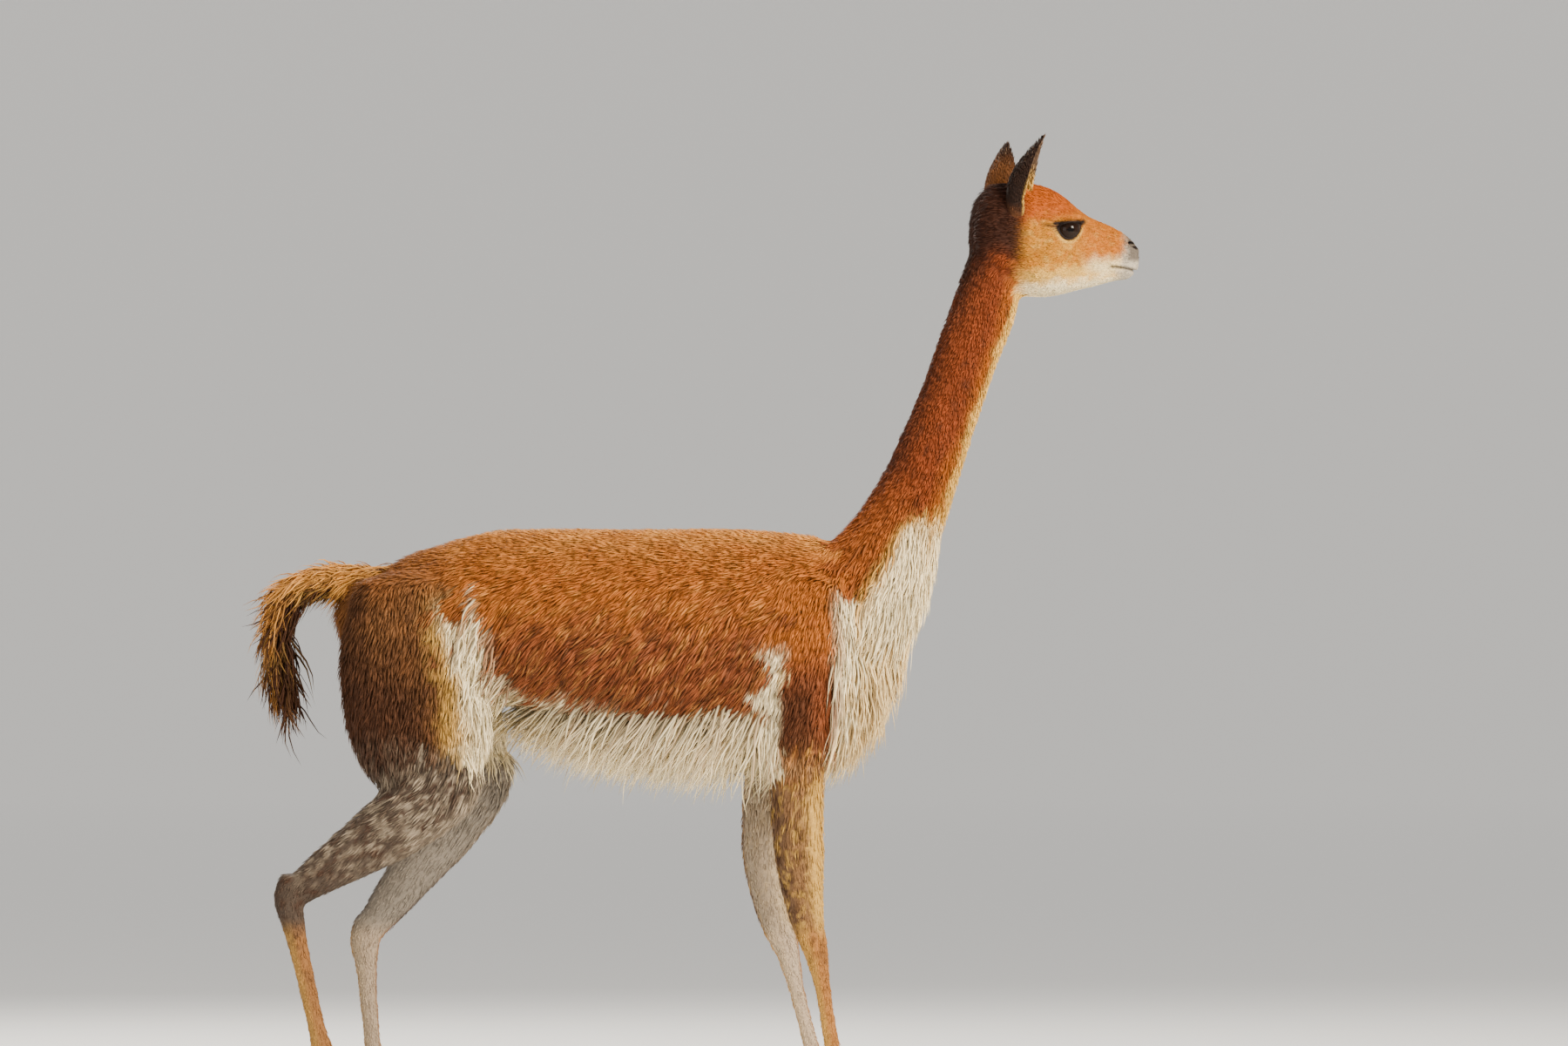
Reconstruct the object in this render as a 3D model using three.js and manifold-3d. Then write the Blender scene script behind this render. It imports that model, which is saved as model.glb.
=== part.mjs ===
// A life-size standing vicuna, in millimetres: +X is where it faces, +Y its left side, +Z up.
// The flesh is a set of lofts with the coat's depth included, and the long hair is flat tapered locks.
// The group is centred under its own box, with the soles on z = 0.
import * as THREE from "three";
import { mergeVertices } from "three/addons/utils/BufferGeometryUtils.js";
import Module from "manifold-3d";

const wasm = await Module();
wasm.setup();

// Driving dimensions
const GAP = 0.35; // left between two nodes that meet
const HIP_Y = 66; // hip to midline
const STIFLE_Y = 82;
const HOCK_Y = 64;
const HIND_FOOT_Y = 62;
const SHOULDER_Y = 66;
const ELBOW_Y = 74;
const KNEE_Y = 60;
const FORE_FOOT_Y = 56;
const PASTERN = 50; // fetlock to toe joint
const TOE = 44;
const EYE_R = 17.5;
const EYE = new THREE.Vector3(656, 39, 1287);
const LID = 3;
const HEAD_PIVOT = new THREE.Vector3(548, 0, 1280);
const HEAD_TURN = THREE.MathUtils.degToRad(9); // the head looks a little to its left
const EAR_WALL = 4;

const COLOURS = {
  coat_tawny: 0xb5672e,
  coat_cream: 0xe9dcc0,
  coat_neck: 0xa04c20,
  coat_grey: 0x8b7a66,
  ear_brown: 0x3a2116,
  eye_dark: 0x0c0806,
  nail_dark: 0x2b2320,
};

// Stations are [x, y, z, fore, side]: a centre and two half sizes, across and along +Y
const TRUNK = [
  [-379, 0, 730, 40, 52],
  [-361, 0, 710, 83, 88],
  [-326, 0, 697, 110, 112],
  [-276, 0, 703, 129, 128],
  [-176, 0, 728, 133, 132],
  [-100, 0, 726, 140, 140],
  [0, 0, 712, 153, 146],
  [100, 0, 706, 160, 144],
  [176, 0, 702, 164, 136],
  [251, 0, 696, 165, 124],
  [301, 0, 693, 164, 112],
  [351, 0, 698, 152, 98],
  [392, 0, 712, 126, 80],
  [424, 0, 724, 86, 58],
  [441, 0, 734, 44, 34],
];
const NECK = [
  [345, 0, 735, 98, 82],
  [385, 0, 795, 84, 72],
  [417, 0, 858, 67, 61],
  [445, 0, 920, 59, 55],
  [469, 0, 983, 55, 50],
  [493, 0, 1046, 52, 48],
  [515, 0, 1109, 52, 47],
  [537, 0, 1167, 53, 47],
  [553, 0, 1222, 50, 48],
  [562, 0, 1262, 45, 50],
];
const HEAD = [
  [528, 0, 1281, 45, 38],
  [536, 0, 1281, 59, 45],
  [549, 0, 1280, 71, 50],
  [572, 0, 1276, 80, 54],
  [598, 0, 1274, 83, 56],
  [622, 0, 1271, 82, 57],
  [642, 0, 1268, 77, 55],
  [660, 0, 1264, 69, 51],
  [678, 0, 1259, 59, 44],
  [697, 0, 1255, 51, 37],
  [716, 0, 1254, 45, 32],
  [734, 0, 1252, 38, 28],
  [750, 0, 1250, 30, 24],
  [763, 0, 1248, 18, 17],
];
const TAIL = [
  [-326, 0, 776, 25, 26],
  [-358, 0, 782, 19, 20],
  [-392, -2, 786, 16, 16],
  [-433, -5, 779, 15, 15],
  [-459, -8, 758, 14, 14],
  [-473, -10, 722, 14, 13],
  [-474, -12, 678, 14, 13],
  [-468, -13, 634, 12, 11],
  [-464, -13, 604, 7, 7],
];

// The right hind leg is lifted onto its toe tips, and the left one carries weight
const HIND = {
  right: {
    thigh: [
      [-300, HIP_Y, 765, 80, 62],
      [-291, HIP_Y + 4, 690, 105, 70],
      [-279, HIP_Y + 9, 615, 113, 72],
      [-269, STIFLE_Y - 4, 552, 106, 66],
      [-258, STIFLE_Y, 512, 88, 58],
    ],
    shank: [
      [-228, STIFLE_Y, 528, 60, 54],
      [-248, STIFLE_Y, 486, 66, 54],
      [-300, STIFLE_Y - 4, 438, 57, 47],
      [-358, STIFLE_Y - 9, 398, 47, 39],
      [-412, HOCK_Y + 4, 362, 36, 32],
      [-446, HOCK_Y, 338, 28, 27],
    ],
    cannon: [
      [-450, HOCK_Y, 352, 27, 26],
      [-460, HOCK_Y, 324, 25, 24],
      [-454, HOCK_Y, 288, 20, 19],
      [-444, HOCK_Y, 244, 17, 17],
      [-432, HIND_FOOT_Y, 190, 16, 16],
      [-420, HIND_FOOT_Y, 138, 16, 16],
      [-412, HIND_FOOT_Y, 104, 20, 20],
    ],
    foot: { x: -410, y: HIND_FOOT_Y, z: 94, slope: 10, flex: 22 },
  },
  left: {
    thigh: [
      [-300, HIP_Y, 765, 80, 62],
      [-286, HIP_Y + 4, 690, 105, 70],
      [-262, HIP_Y + 9, 615, 108, 72],
      [-238, STIFLE_Y - 4, 552, 96, 66],
      [-220, STIFLE_Y, 512, 78, 58],
    ],
    shank: [
      [-186, STIFLE_Y, 535, 55, 54],
      [-200, STIFLE_Y, 486, 60, 54],
      [-238, STIFLE_Y - 4, 424, 52, 47],
      [-284, STIFLE_Y - 9, 362, 42, 39],
      [-322, HOCK_Y + 4, 312, 34, 32],
      [-346, HOCK_Y, 280, 27, 27],
    ],
    cannon: [
      [-345, HOCK_Y, 290, 26, 26],
      [-354, HOCK_Y, 262, 25, 24],
      [-352, HOCK_Y, 226, 19, 19],
      [-349, HOCK_Y, 180, 16, 17],
      [-345, HIND_FOOT_Y, 134, 15, 16],
      [-341, HIND_FOOT_Y, 96, 16, 16],
      [-338, HIND_FOOT_Y, 67, 19, 20],
    ],
    foot: { x: -336, y: HIND_FOOT_Y, z: 61, slope: 38, flex: 74 },
  },
};
const FORE = {
  right: {
    arm: [
      [300, SHOULDER_Y - 8, 762, 58, 50],
      [284, SHOULDER_Y, 680, 66, 62],
      [272, SHOULDER_Y + 4, 604, 62, 62],
      [268, ELBOW_Y - 2, 540, 54, 54],
      [268, ELBOW_Y, 508, 42, 44],
    ],
    forearm: [
      [268, ELBOW_Y, 552, 42, 42],
      [269, ELBOW_Y, 498, 45, 42],
      [270, ELBOW_Y - 3, 440, 44, 39],
      [274, ELBOW_Y - 7, 376, 40, 35],
      [281, KNEE_Y + 3, 314, 33, 30],
      [290, KNEE_Y, 268, 25, 26],
      [296, KNEE_Y, 244, 20, 22],
    ],
    cannon: [
      [291, KNEE_Y, 276, 23, 24],
      [298, KNEE_Y, 244, 20, 21],
      [306, KNEE_Y, 201, 15, 16],
      [313, KNEE_Y, 157, 14, 15],
      [321, FORE_FOOT_Y, 107, 15, 16],
      [327, FORE_FOOT_Y, 69, 19, 20],
    ],
    foot: { x: 328, y: FORE_FOOT_Y, z: 62, slope: 36, flex: 74 },
  },
  left: {
    arm: [
      [290, SHOULDER_Y - 8, 762, 58, 50],
      [262, SHOULDER_Y, 680, 64, 62],
      [244, SHOULDER_Y + 4, 604, 60, 62],
      [236, ELBOW_Y - 2, 540, 52, 54],
      [234, ELBOW_Y, 508, 42, 44],
    ],
    forearm: [
      [236, ELBOW_Y, 552, 42, 42],
      [232, ELBOW_Y, 498, 44, 42],
      [224, ELBOW_Y - 3, 440, 40, 38],
      [222, ELBOW_Y - 7, 376, 35, 34],
      [232, KNEE_Y + 3, 314, 30, 30],
      [246, KNEE_Y, 268, 25, 26],
      [255, KNEE_Y, 244, 20, 22],
    ],
    cannon: [
      [248, KNEE_Y, 276, 23, 24],
      [257, KNEE_Y, 244, 20, 21],
      [267, KNEE_Y, 201, 15, 16],
      [278, KNEE_Y, 157, 14, 15],
      [291, FORE_FOOT_Y, 107, 15, 16],
      [301, FORE_FOOT_Y, 69, 19, 20],
    ],
    foot: { x: 303, y: FORE_FOOT_Y, z: 61, slope: 38, flex: 74 },
  },
};

// Small helpers
const vec = (x, y, z) => new THREE.Vector3(x, y, z);
const deg = THREE.MathUtils.degToRad;
const mix = THREE.MathUtils.lerp;

// Seeded random numbers from 0 to 1
let seed = 20240;
function random() {
  seed = (seed * 16807) % 2147483647;
  return seed / 2147483647;
}
const vary = (share) => 1 + share * (2 * random() - 1);

function solid(geometry) {
  const bare = new THREE.BufferGeometry();
  const flat = geometry.index ? geometry.toNonIndexed() : geometry;
  bare.setAttribute("position", flat.getAttribute("position"));
  const merged = mergeVertices(bare, 1e-3);
  return new wasm.Manifold(
    new wasm.Mesh({
      numProp: 3,
      vertProperties: merged.attributes.position.array,
      triVerts: new Uint32Array(merged.index.array),
    }),
  );
}

function geometryOf(body) {
  const mesh = body.getMesh();
  const geometry = new THREE.BufferGeometry();
  const places = new Float32Array(mesh.vertProperties);
  geometry.setAttribute("position", new THREE.BufferAttribute(places, 3));
  geometry.setIndex(new THREE.BufferAttribute(new Uint32Array(mesh.triVerts), 1));
  geometry.computeVertexNormals();
  return geometry;
}

const join = (bodies) => bodies.reduce((a, b) => a.add(b));

function largest(body) {
  const pieces = body.decompose();
  return pieces.reduce((a, b) => (a.volume() > b.volume() ? a : b));
}

// A closed surface from rings of points, each end drawn to a pole
function ringsToGeometry(rings, startPole, endPole) {
  const sides = rings[0].length;
  const points = [startPole, ...rings.flat(), endPole];
  const last = points.length - 1;
  const index = [];
  for (let j = 0; j < sides; j++) {
    const k = (j + 1) % sides;
    index.push(0, 1 + j, 1 + k);
    for (let i = 0; i + 1 < rings.length; i++) {
      const a = 1 + i * sides;
      const b = a + sides;
      index.push(a + j, b + k, a + k, a + j, b + j, b + k);
    }
    const end = 1 + (rings.length - 1) * sides;
    index.push(end + k, end + j, last);
  }
  const geometry = new THREE.BufferGeometry().setFromPoints(points);
  geometry.setIndex(index);
  return geometry;
}

// A smooth tube through stations. Angle 0 of a ring is tangent x side: the back of the trunk, the front of a leg.
// lean above 0 narrows that side of the ring, and square above 2 makes the ring fuller than an ellipse.
// facing holds every ring square to one direction, for a body whose ends are blunt.
function loft(stations, options = {}) {
  const { sides = 16, rings = 12, square = 2.15, lean = 0, caps = [14, 14] } = options;
  const { grow = 0, sideAxis = vec(0, 1, 0), facing = null } = options;
  const path = new THREE.CatmullRomCurve3(stations.map((s) => vec(s[0], s[1], s[2])));
  const sizes = new THREE.CatmullRomCurve3(
    stations.map((s) => vec(s[3], s[4], 0)),
    false,
    "catmullrom",
    0.5,
  );
  const round = (v) => Math.sign(v) * Math.abs(v) ** (2 / square);
  function ring(t, scale, shift) {
    const tangent = facing ?? path.getTangent(t);
    const side = sideAxis.clone().addScaledVector(tangent, -sideAxis.dot(tangent)).normalize();
    const fore = tangent.clone().cross(side);
    const centre = path.getPoint(t).addScaledVector(tangent, shift);
    const size = sizes.getPoint(t);
    const points = [];
    for (let j = 0; j < sides; j++) {
      const angle = (2 * Math.PI * j) / sides;
      const up = round(Math.cos(angle));
      const out = round(Math.sin(angle)) * (1 - lean * up);
      points.push(
        centre
          .clone()
          .addScaledVector(fore, up * (size.x * scale + grow))
          .addScaledVector(side, out * (size.y * scale + grow)),
      );
    }
    return points;
  }
  const all = [];
  const [startCap, endCap] = caps;
  const pole = (t, depth) =>
    path.getPoint(t).addScaledVector(facing ?? path.getTangent(t), depth + Math.sign(depth) * grow);
  all.push(ring(0, 0.75, -0.66 * startCap - grow));
  for (let i = 0; i <= rings; i++) all.push(ring(i / rings, 1, 0));
  all.push(ring(1, 0.75, 0.66 * endCap + grow));
  return ringsToGeometry(all, pole(0, -startCap), pole(1, endCap));
}

const mirrorY = (stations) => stations.map(([x, y, ...rest]) => [x, -y, ...rest]);
const onSide = (side, stations) => (side === "left" ? stations : mirrorY(stations));

function ball(centre, radii, turn = 0, around = 12) {
  const geometry = new THREE.SphereGeometry(1, around, Math.round(around * 0.6));
  geometry.scale(radii.x, radii.y, radii.z);
  geometry.rotateY(turn);
  geometry.translate(centre.x, centre.y, centre.z);
  return solid(geometry);
}

const turned = (() => {
  const matrix = new THREE.Matrix4()
    .makeTranslation(HEAD_PIVOT.x, HEAD_PIVOT.y, HEAD_PIVOT.z)
    .multiply(new THREE.Matrix4().makeRotationZ(HEAD_TURN))
    .multiply(new THREE.Matrix4().makeTranslation(-HEAD_PIVOT.x, -HEAD_PIVOT.y, -HEAD_PIVOT.z));
  return (body) => body.transform(matrix.elements);
})();

// A flat lens outline for the opening between the lids: nearly straight above, round below
function eyeOpening(side, depthFrom, depthTo) {
  const half = 19;
  const shape = new THREE.Shape();
  shape.moveTo(-half, 3);
  shape.quadraticCurveTo(-2, 12, half, 7);
  shape.quadraticCurveTo(8, -13, -4, -12);
  shape.quadraticCurveTo(-13, -10, -half, 3);
  const geometry = new THREE.ExtrudeGeometry(shape, {
    depth: depthTo - depthFrom,
    bevelEnabled: false,
    curveSegments: 5,
  });
  geometry.translate(0, 0, depthFrom);
  geometry.rotateX(Math.PI / 2);
  if (side > 0) geometry.scale(1, -1, 1);
  if (side > 0) flip(geometry);
  geometry.translate(EYE.x, 0, EYE.z);
  return solid(geometry);
}

// Turns every face of a mirrored geometry round
function flip(geometry) {
  const places = geometry.getAttribute("position");
  for (let i = 0; i < places.count; i += 3) {
    for (let k = 0; k < 3; k++) {
      const held = places.getComponent(i + 1, k);
      places.setComponent(i + 1, k, places.getComponent(i + 2, k));
      places.setComponent(i + 2, k, held);
    }
  }
}

function headCore(grow) {
  const options = {
    sides: 16,
    rings: 13,
    square: 2.2,
    lean: 0.12,
    caps: [9, 4],
    facing: vec(1, 0, 0),
    grow,
  };
  const parts = [solid(loft(HEAD, options))];
  parts.push(ball(vec(742, 0, 1224), vec(17 + grow, 15 + grow, 11 + grow)));
  for (const s of [-1, 1]) {
    parts.push(ball(vec(756, 8 * s, 1242), vec(12 + grow, 11 + grow, 15 + grow)));
    parts.push(ball(vec(656, 36 * s, 1306), vec(27 + grow, 13 + grow, 10 + grow), 0.1));
    const lid = vec(1, 1, 1).multiplyScalar(EYE_R + LID + grow);
    parts.push(ball(vec(EYE.x, EYE.y * s, EYE.z), lid, 0, 14));
    parts.push(ball(vec(615, 34 * s, 1240), vec(40 + grow, 24 + grow, 34 + grow)));
  }
  return turned(join(parts));
}

function headCuts() {
  const cuts = [];
  const mouth = new THREE.Shape();
  mouth.moveTo(718, 1234.4);
  mouth.quadraticCurveTo(740, 1236, 780, 1224);
  mouth.lineTo(780, 1221.6);
  mouth.quadraticCurveTo(740, 1233.2, 718, 1233);
  const slot = new THREE.ExtrudeGeometry(mouth, { depth: 80, bevelEnabled: false, curveSegments: 6 });
  slot.rotateX(Math.PI / 2);
  slot.translate(0, 40, 0);
  cuts.push(solid(slot));
  for (const s of [-1, 1]) {
    const socket = vec(1, 1, 1).multiplyScalar(EYE_R + GAP);
    cuts.push(ball(vec(EYE.x, EYE.y * s, EYE.z), socket, 0, 14));
    cuts.push(eyeOpening(s, EYE.y, EYE.y + 40));
    cuts.push(ball(vec(756, 16 * s, 1266), vec(10, 5, 4), 0.55, 8));
  }
  return turned(join(cuts));
}

function eyeBall(side) {
  return turned(ball(vec(EYE.x, EYE.y * side, EYE.z), vec(EYE_R, EYE_R, EYE_R), 0, 14));
}

// An ear is a leaf-shaped shell, cupped towards open
const EARS = {
  right: { base: vec(579, -39, 1303), tip: vec(616, -62, 1420), open: vec(0.95, -0.34, -0.2) },
  left: { base: vec(566, 36, 1303), tip: vec(584, 62, 1414), open: vec(0.45, 0.89, -0.05) },
};
const EAR_SHAPE = [
  [0, 15],
  [0.18, 20],
  [0.38, 24],
  [0.58, 21],
  [0.78, 13],
  [0.93, 6],
  [1, 2.4],
];

function earLoft(ear, grow, cavity) {
  const along = ear.tip.clone().sub(ear.base);
  const length = along.length();
  along.normalize();
  const open = ear.open.clone().addScaledVector(along, -ear.open.dot(along)).normalize();
  const side = open.clone().cross(along);
  const from = cavity ? 0.1 : 0;
  const to = cavity ? 0.94 : 1;
  const stations = EAR_SHAPE.map(([s, half]) => {
    const place = from + (to - from) * s;
    const lean = 7 * Math.sin(Math.PI * s); // the ear curves back, then forward at the tip
    const centre = ear.base.clone().addScaledVector(along, length * place).addScaledVector(open, -lean);
    if (cavity) centre.addScaledVector(open, 0.62 * half);
    const depth = cavity ? 1.05 * half : 0.64 * half;
    const width = cavity ? Math.max(half - EAR_WALL * Math.min(1, 6 * s + 0.3), 0.8) : half;
    return [centre.x, centre.y, centre.z, depth, width];
  });
  return solid(
    loft(stations, { sides: 12, rings: 6, square: 2, caps: cavity ? [2, 1] : [6, 1.5], sideAxis: side, grow }),
  );
}

// A foot: two toes side by side, cut flat by the floor
function toePath(foot, toe) {
  const a = deg(foot.slope);
  const b = deg(foot.flex);
  const joint = vec(foot.x + PASTERN * Math.sin(a), 0, foot.z - PASTERN * Math.cos(a));
  const tip = vec(joint.x + TOE * Math.sin(b), 0, joint.z - TOE * Math.cos(b));
  const y = (spread) => foot.y + toe * spread;
  return [
    [foot.x - 2, y(6), foot.z + 2, 17, 15],
    [mix(foot.x, joint.x, 0.5), y(8), mix(foot.z, joint.z, 0.5), 15, 13],
    [joint.x, y(11), joint.z, 17, 13.5],
    [mix(joint.x, tip.x, 0.6), y(13), mix(joint.z, tip.z, 0.6), 20, 12.5],
    [tip.x, y(13), tip.z, 15, 10.5],
  ];
}

function belowFloor(foot) {
  const floor = new THREE.BoxGeometry(400, 400, 100);
  floor.translate(foot.x, 0, -50);
  return solid(floor);
}

function footCore(foot, side, grow) {
  const parts = [];
  for (const toe of [-1, 1]) {
    const path = onSide(side, toePath(foot, toe));
    parts.push(solid(loft(path, { sides: 8, rings: 4, square: 2.3, caps: [10, 8], grow })));
  }
  return join(parts).subtract(belowFloor(foot));
}

function nail(foot, side, toe, grow) {
  const tip = toePath(foot, toe)[4];
  const b = deg(foot.flex);
  const out = vec(Math.sin(b), 0, -Math.cos(b));
  const lift = vec(Math.cos(b), 0, Math.sin(b));
  const [back, raised] = foot.flex < 45 ? [12, 9] : [0, 1]; // on its toe tips, a foot's nails clear the floor
  const at = (along, up, fore, wide) => {
    const p = vec(tip[0], 0, tip[2])
      .addScaledVector(out, along - back)
      .addScaledVector(lift, up + raised);
    return [p.x, tip[1], p.z, fore, wide];
  };
  const path = [at(-13, 9, 5, 6), at(0, 8, 5.5, 6.5), at(10, 4, 4, 5), at(17, 0, 1.5, 2)];
  return solid(loft(onSide(side, path), { sides: 6, rings: 3, caps: [3, 1], grow }));
}

// Nodes in order: where two meet, the earlier one keeps the shared space
const cores = new Map();
const addCore = (name, colour, make) => cores.set(name, { name, colour, make, locks: [] });
addCore("torso", "coat_tawny", (grow) =>
  solid(loft(TRUNK, { sides: 18, rings: 17, square: 2.25, lean: 0.1, caps: [10, 8], facing: vec(1, 0, 0), grow })),
);
addCore("head", "coat_tawny", headCore);
for (const side of ["right", "left"]) {
  const leg = HIND[side];
  addCore("thigh_" + side, "coat_tawny", (grow) =>
    solid(loft(onSide(side, leg.thigh), { sides: 13, rings: 6, caps: [40, 34], grow })),
  );
  addCore("shank_" + side, "coat_grey", (grow) =>
    solid(loft(onSide(side, leg.shank), { sides: 12, rings: 7, caps: [18, 12], grow })),
  );
  addCore("hind_cannon_" + side, "coat_cream", (grow) =>
    solid(loft(onSide(side, leg.cannon), { sides: 10, rings: 8, caps: [8, 8], grow })),
  );
  addCore("hind_foot_" + side, "coat_tawny", (grow) => footCore(leg.foot, side, grow));
}
for (const side of ["right", "left"]) {
  const leg = FORE[side];
  addCore("upper_arm_" + side, "coat_tawny", (grow) =>
    solid(loft(onSide(side, leg.arm), { sides: 14, rings: 6, caps: [40, 16], grow })),
  );
  addCore("forearm_" + side, "coat_tawny", (grow) =>
    solid(loft(onSide(side, leg.forearm), { sides: 12, rings: 8, caps: [12, 8], grow })),
  );
  addCore("fore_cannon_" + side, "coat_tawny", (grow) =>
    solid(loft(onSide(side, leg.cannon), { sides: 10, rings: 7, caps: [8, 8], grow })),
  );
  addCore("fore_foot_" + side, "coat_tawny", (grow) => footCore(leg.foot, side, grow));
}
addCore("neck", "coat_neck", (grow) =>
  solid(loft(NECK, { sides: 16, rings: 13, square: 2, caps: [30, 20], grow })),
);
for (const side of ["left", "right"]) {
  addCore("ear_" + side, "ear_brown", (grow) => turned(earLoft(EARS[side], grow, false)));
}
addCore("tail", "coat_tawny", (grow) =>
  solid(loft(TAIL, { sides: 8, rings: 11, square: 2, caps: [20, 8], grow })),
);

const tight = new Map([...cores].map(([name, core]) => [name, core.make(0)]));
const wide = new Map([...cores].map(([name, core]) => [name, core.make(GAP)]));

// Locks: flat tapered blades that leave the surface, bend and hang
const skinMesh = new THREE.Mesh(
  geometryOf(join([...tight.values()])),
  new THREE.MeshBasicMaterial({ side: THREE.DoubleSide }),
);
skinMesh.updateMatrixWorld();

// Where a ray from inside the body leaves one of its parts
function rootOn(part, origin, direction) {
  const mesh = new THREE.Mesh(part, skinMesh.material);
  const ray = new THREE.Raycaster(origin, direction.clone().normalize());
  const hits = ray.intersectObject(mesh);
  if (!hits.length) return null;
  const hit = hits[hits.length - 1];
  const normal = hit.face.normal.clone();
  if (normal.dot(ray.ray.direction) < 0) normal.negate();
  return { point: hit.point, normal };
}

const LOCK_STEPS = 3;
function lockGeometry(lock, grow) {
  const { point, normal, flow, hang, length, width, thick, lift, sunk } = lock;
  const start = flow.clone().addScaledVector(normal, lift).normalize();
  const place = point.clone().addScaledVector(normal, -sunk).addScaledVector(start, -sunk * 0.6);
  const reach = length + sunk;
  const rings = [];
  let tip = null;
  for (let i = 0; i <= LOCK_STEPS; i++) {
    const s = i / LOCK_STEPS;
    const heading = start.clone().lerp(hang, s ** 1.2).normalize();
    const across = heading.clone().cross(normal).normalize();
    const out = across.clone().cross(heading);
    if (i === LOCK_STEPS) {
      tip = place.clone();
      break;
    }
    const fat = s < 0.4 ? mix(0.72, 1, s / 0.4) : ((1 - s) / 0.6) ** 0.75;
    const w = 0.5 * width * fat + grow;
    const t = 0.5 * thick * mix(1, 0.7, s) + grow;
    rings.push([
      place.clone().addScaledVector(across, w),
      place.clone().addScaledVector(out, t),
      place.clone().addScaledVector(across, -w),
      place.clone().addScaledVector(out, -t),
    ]);
    place.addScaledVector(heading, reach / LOCK_STEPS);
  }
  const foot = rings[0].reduce((sum, p) => sum.add(p), vec(0, 0, 0)).multiplyScalar(1 / 4);
  return ringsToGeometry(rings, foot, tip);
}

const lockSolid = (lock, grow) => solid(lockGeometry(lock, grow));

const surfaces = new Map();
function surfaceOf(name) {
  if (!surfaces.has(name)) surfaces.set(name, geometryOf(tight.get(name)));
  return surfaces.get(name);
}

function plant(name, origin, direction, style) {
  const root = rootOn(surfaceOf(style.on ?? name), origin, direction);
  if (!root) return;
  const down = style.flow.clone();
  const flow = down.addScaledVector(root.normal, -down.dot(root.normal)).normalize();
  cores.get(name).locks.push({
    ...root,
    flow,
    hang: style.hang.clone().addScaledVector(root.normal, style.stray * random()).normalize(),
    length: style.length * vary(0.16),
    width: style.width * vary(0.15),
    thick: style.thick,
    lift: style.lift * vary(0.3),
    sunk: style.sunk ?? 5,
  });
}

// The white apron over the breast, in rows from the throat down
function plantApron() {
  const rows = [
    { z: 790, count: 6, spread: 62, length: 70, x: 370 },
    { z: 745, count: 8, spread: 84, length: 78, x: 338 },
    { z: 700, count: 9, spread: 90, length: 86, x: 322 },
    { z: 655, count: 10, spread: 92, length: 92, x: 312 },
    { z: 610, count: 10, spread: 90, length: 98, x: 305 },
    { z: 568, count: 8, spread: 78, length: 100, x: 300 },
  ];
  for (const row of rows) {
    for (let i = 0; i < row.count; i++) {
      const angle = deg(mix(-row.spread, row.spread, i / (row.count - 1)) + 4 * (random() - 0.5));
      plant("torso", vec(row.x, 0, row.z + 12 * (random() - 0.5)), vec(Math.cos(angle), Math.sin(angle), -0.1), {
        flow: vec(0, 0, -1),
        hang: vec(-0.1 * Math.cos(angle), 0.1 * Math.sin(angle), -1),
        length: row.length,
        width: 32,
        thick: 10,
        lift: 0.32,
        stray: 0.16,
      });
    }
  }
}

// The fringe that hangs from the flanks and belly
function plantBellyFringe() {
  const rows = [
    { angle: 62, count: 8, length: 76, from: -105, to: 178 },
    { angle: 34, count: 7, length: 64, from: -115, to: 160 },
  ];
  for (const s of [-1, 1]) {
    for (const row of rows) {
      for (let i = 0; i < row.count; i++) {
        const x = mix(row.from, row.to, i / (row.count - 1)) + 12 * (random() - 0.5);
        const a = deg(row.angle);
        plant("torso", vec(x, 0, 690), vec(0, s * Math.sin(a), -Math.cos(a)), {
          flow: vec(0.12, 0, -1),
          hang: vec(0.25 - 0.001 * x, 0.1 * s, -1),
          length: row.length,
          width: 30,
          thick: 9,
          lift: 0.25,
          stray: 0.14,
        });
      }
    }
  }
}

// Long hair down the front edge of each thigh, and behind each upper arm
function plantLegFringes() {
  for (const side of ["right", "left"]) {
    const s = side === "left" ? 1 : -1;
    for (let i = 0; i < 6; i++) {
      const z = mix(690, 520, i / 5);
      const middle = side === "left" ? mix(-284, -222, i / 5) : mix(-290, -260, i / 5);
      plant("thigh_" + side, vec(middle, s * (HIP_Y + 6), z), vec(1, s * 0.55, -0.1), {
        flow: vec(0.2, 0, -1),
        hang: vec(0.3, 0.1 * s, -1),
        length: 52,
        width: 24,
        thick: 8,
        lift: 0.5,
        stray: 0.15,
      });
    }
    for (let i = 0; i < 6; i++) {
      const z = mix(660, 520, i / 5);
      const middle = side === "left" ? mix(252, 236, i / 5) : mix(280, 268, i / 5);
      plant("upper_arm_" + side, vec(middle, s * ELBOW_Y, z), vec(-1, s * 0.5, -0.1), {
        flow: vec(-0.2, 0, -1),
        hang: vec(-0.12, 0.05 * s, -1),
        length: 56,
        width: 24,
        thick: 8,
        lift: 0.4,
        stray: 0.15,
      });
    }
  }
}

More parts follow.
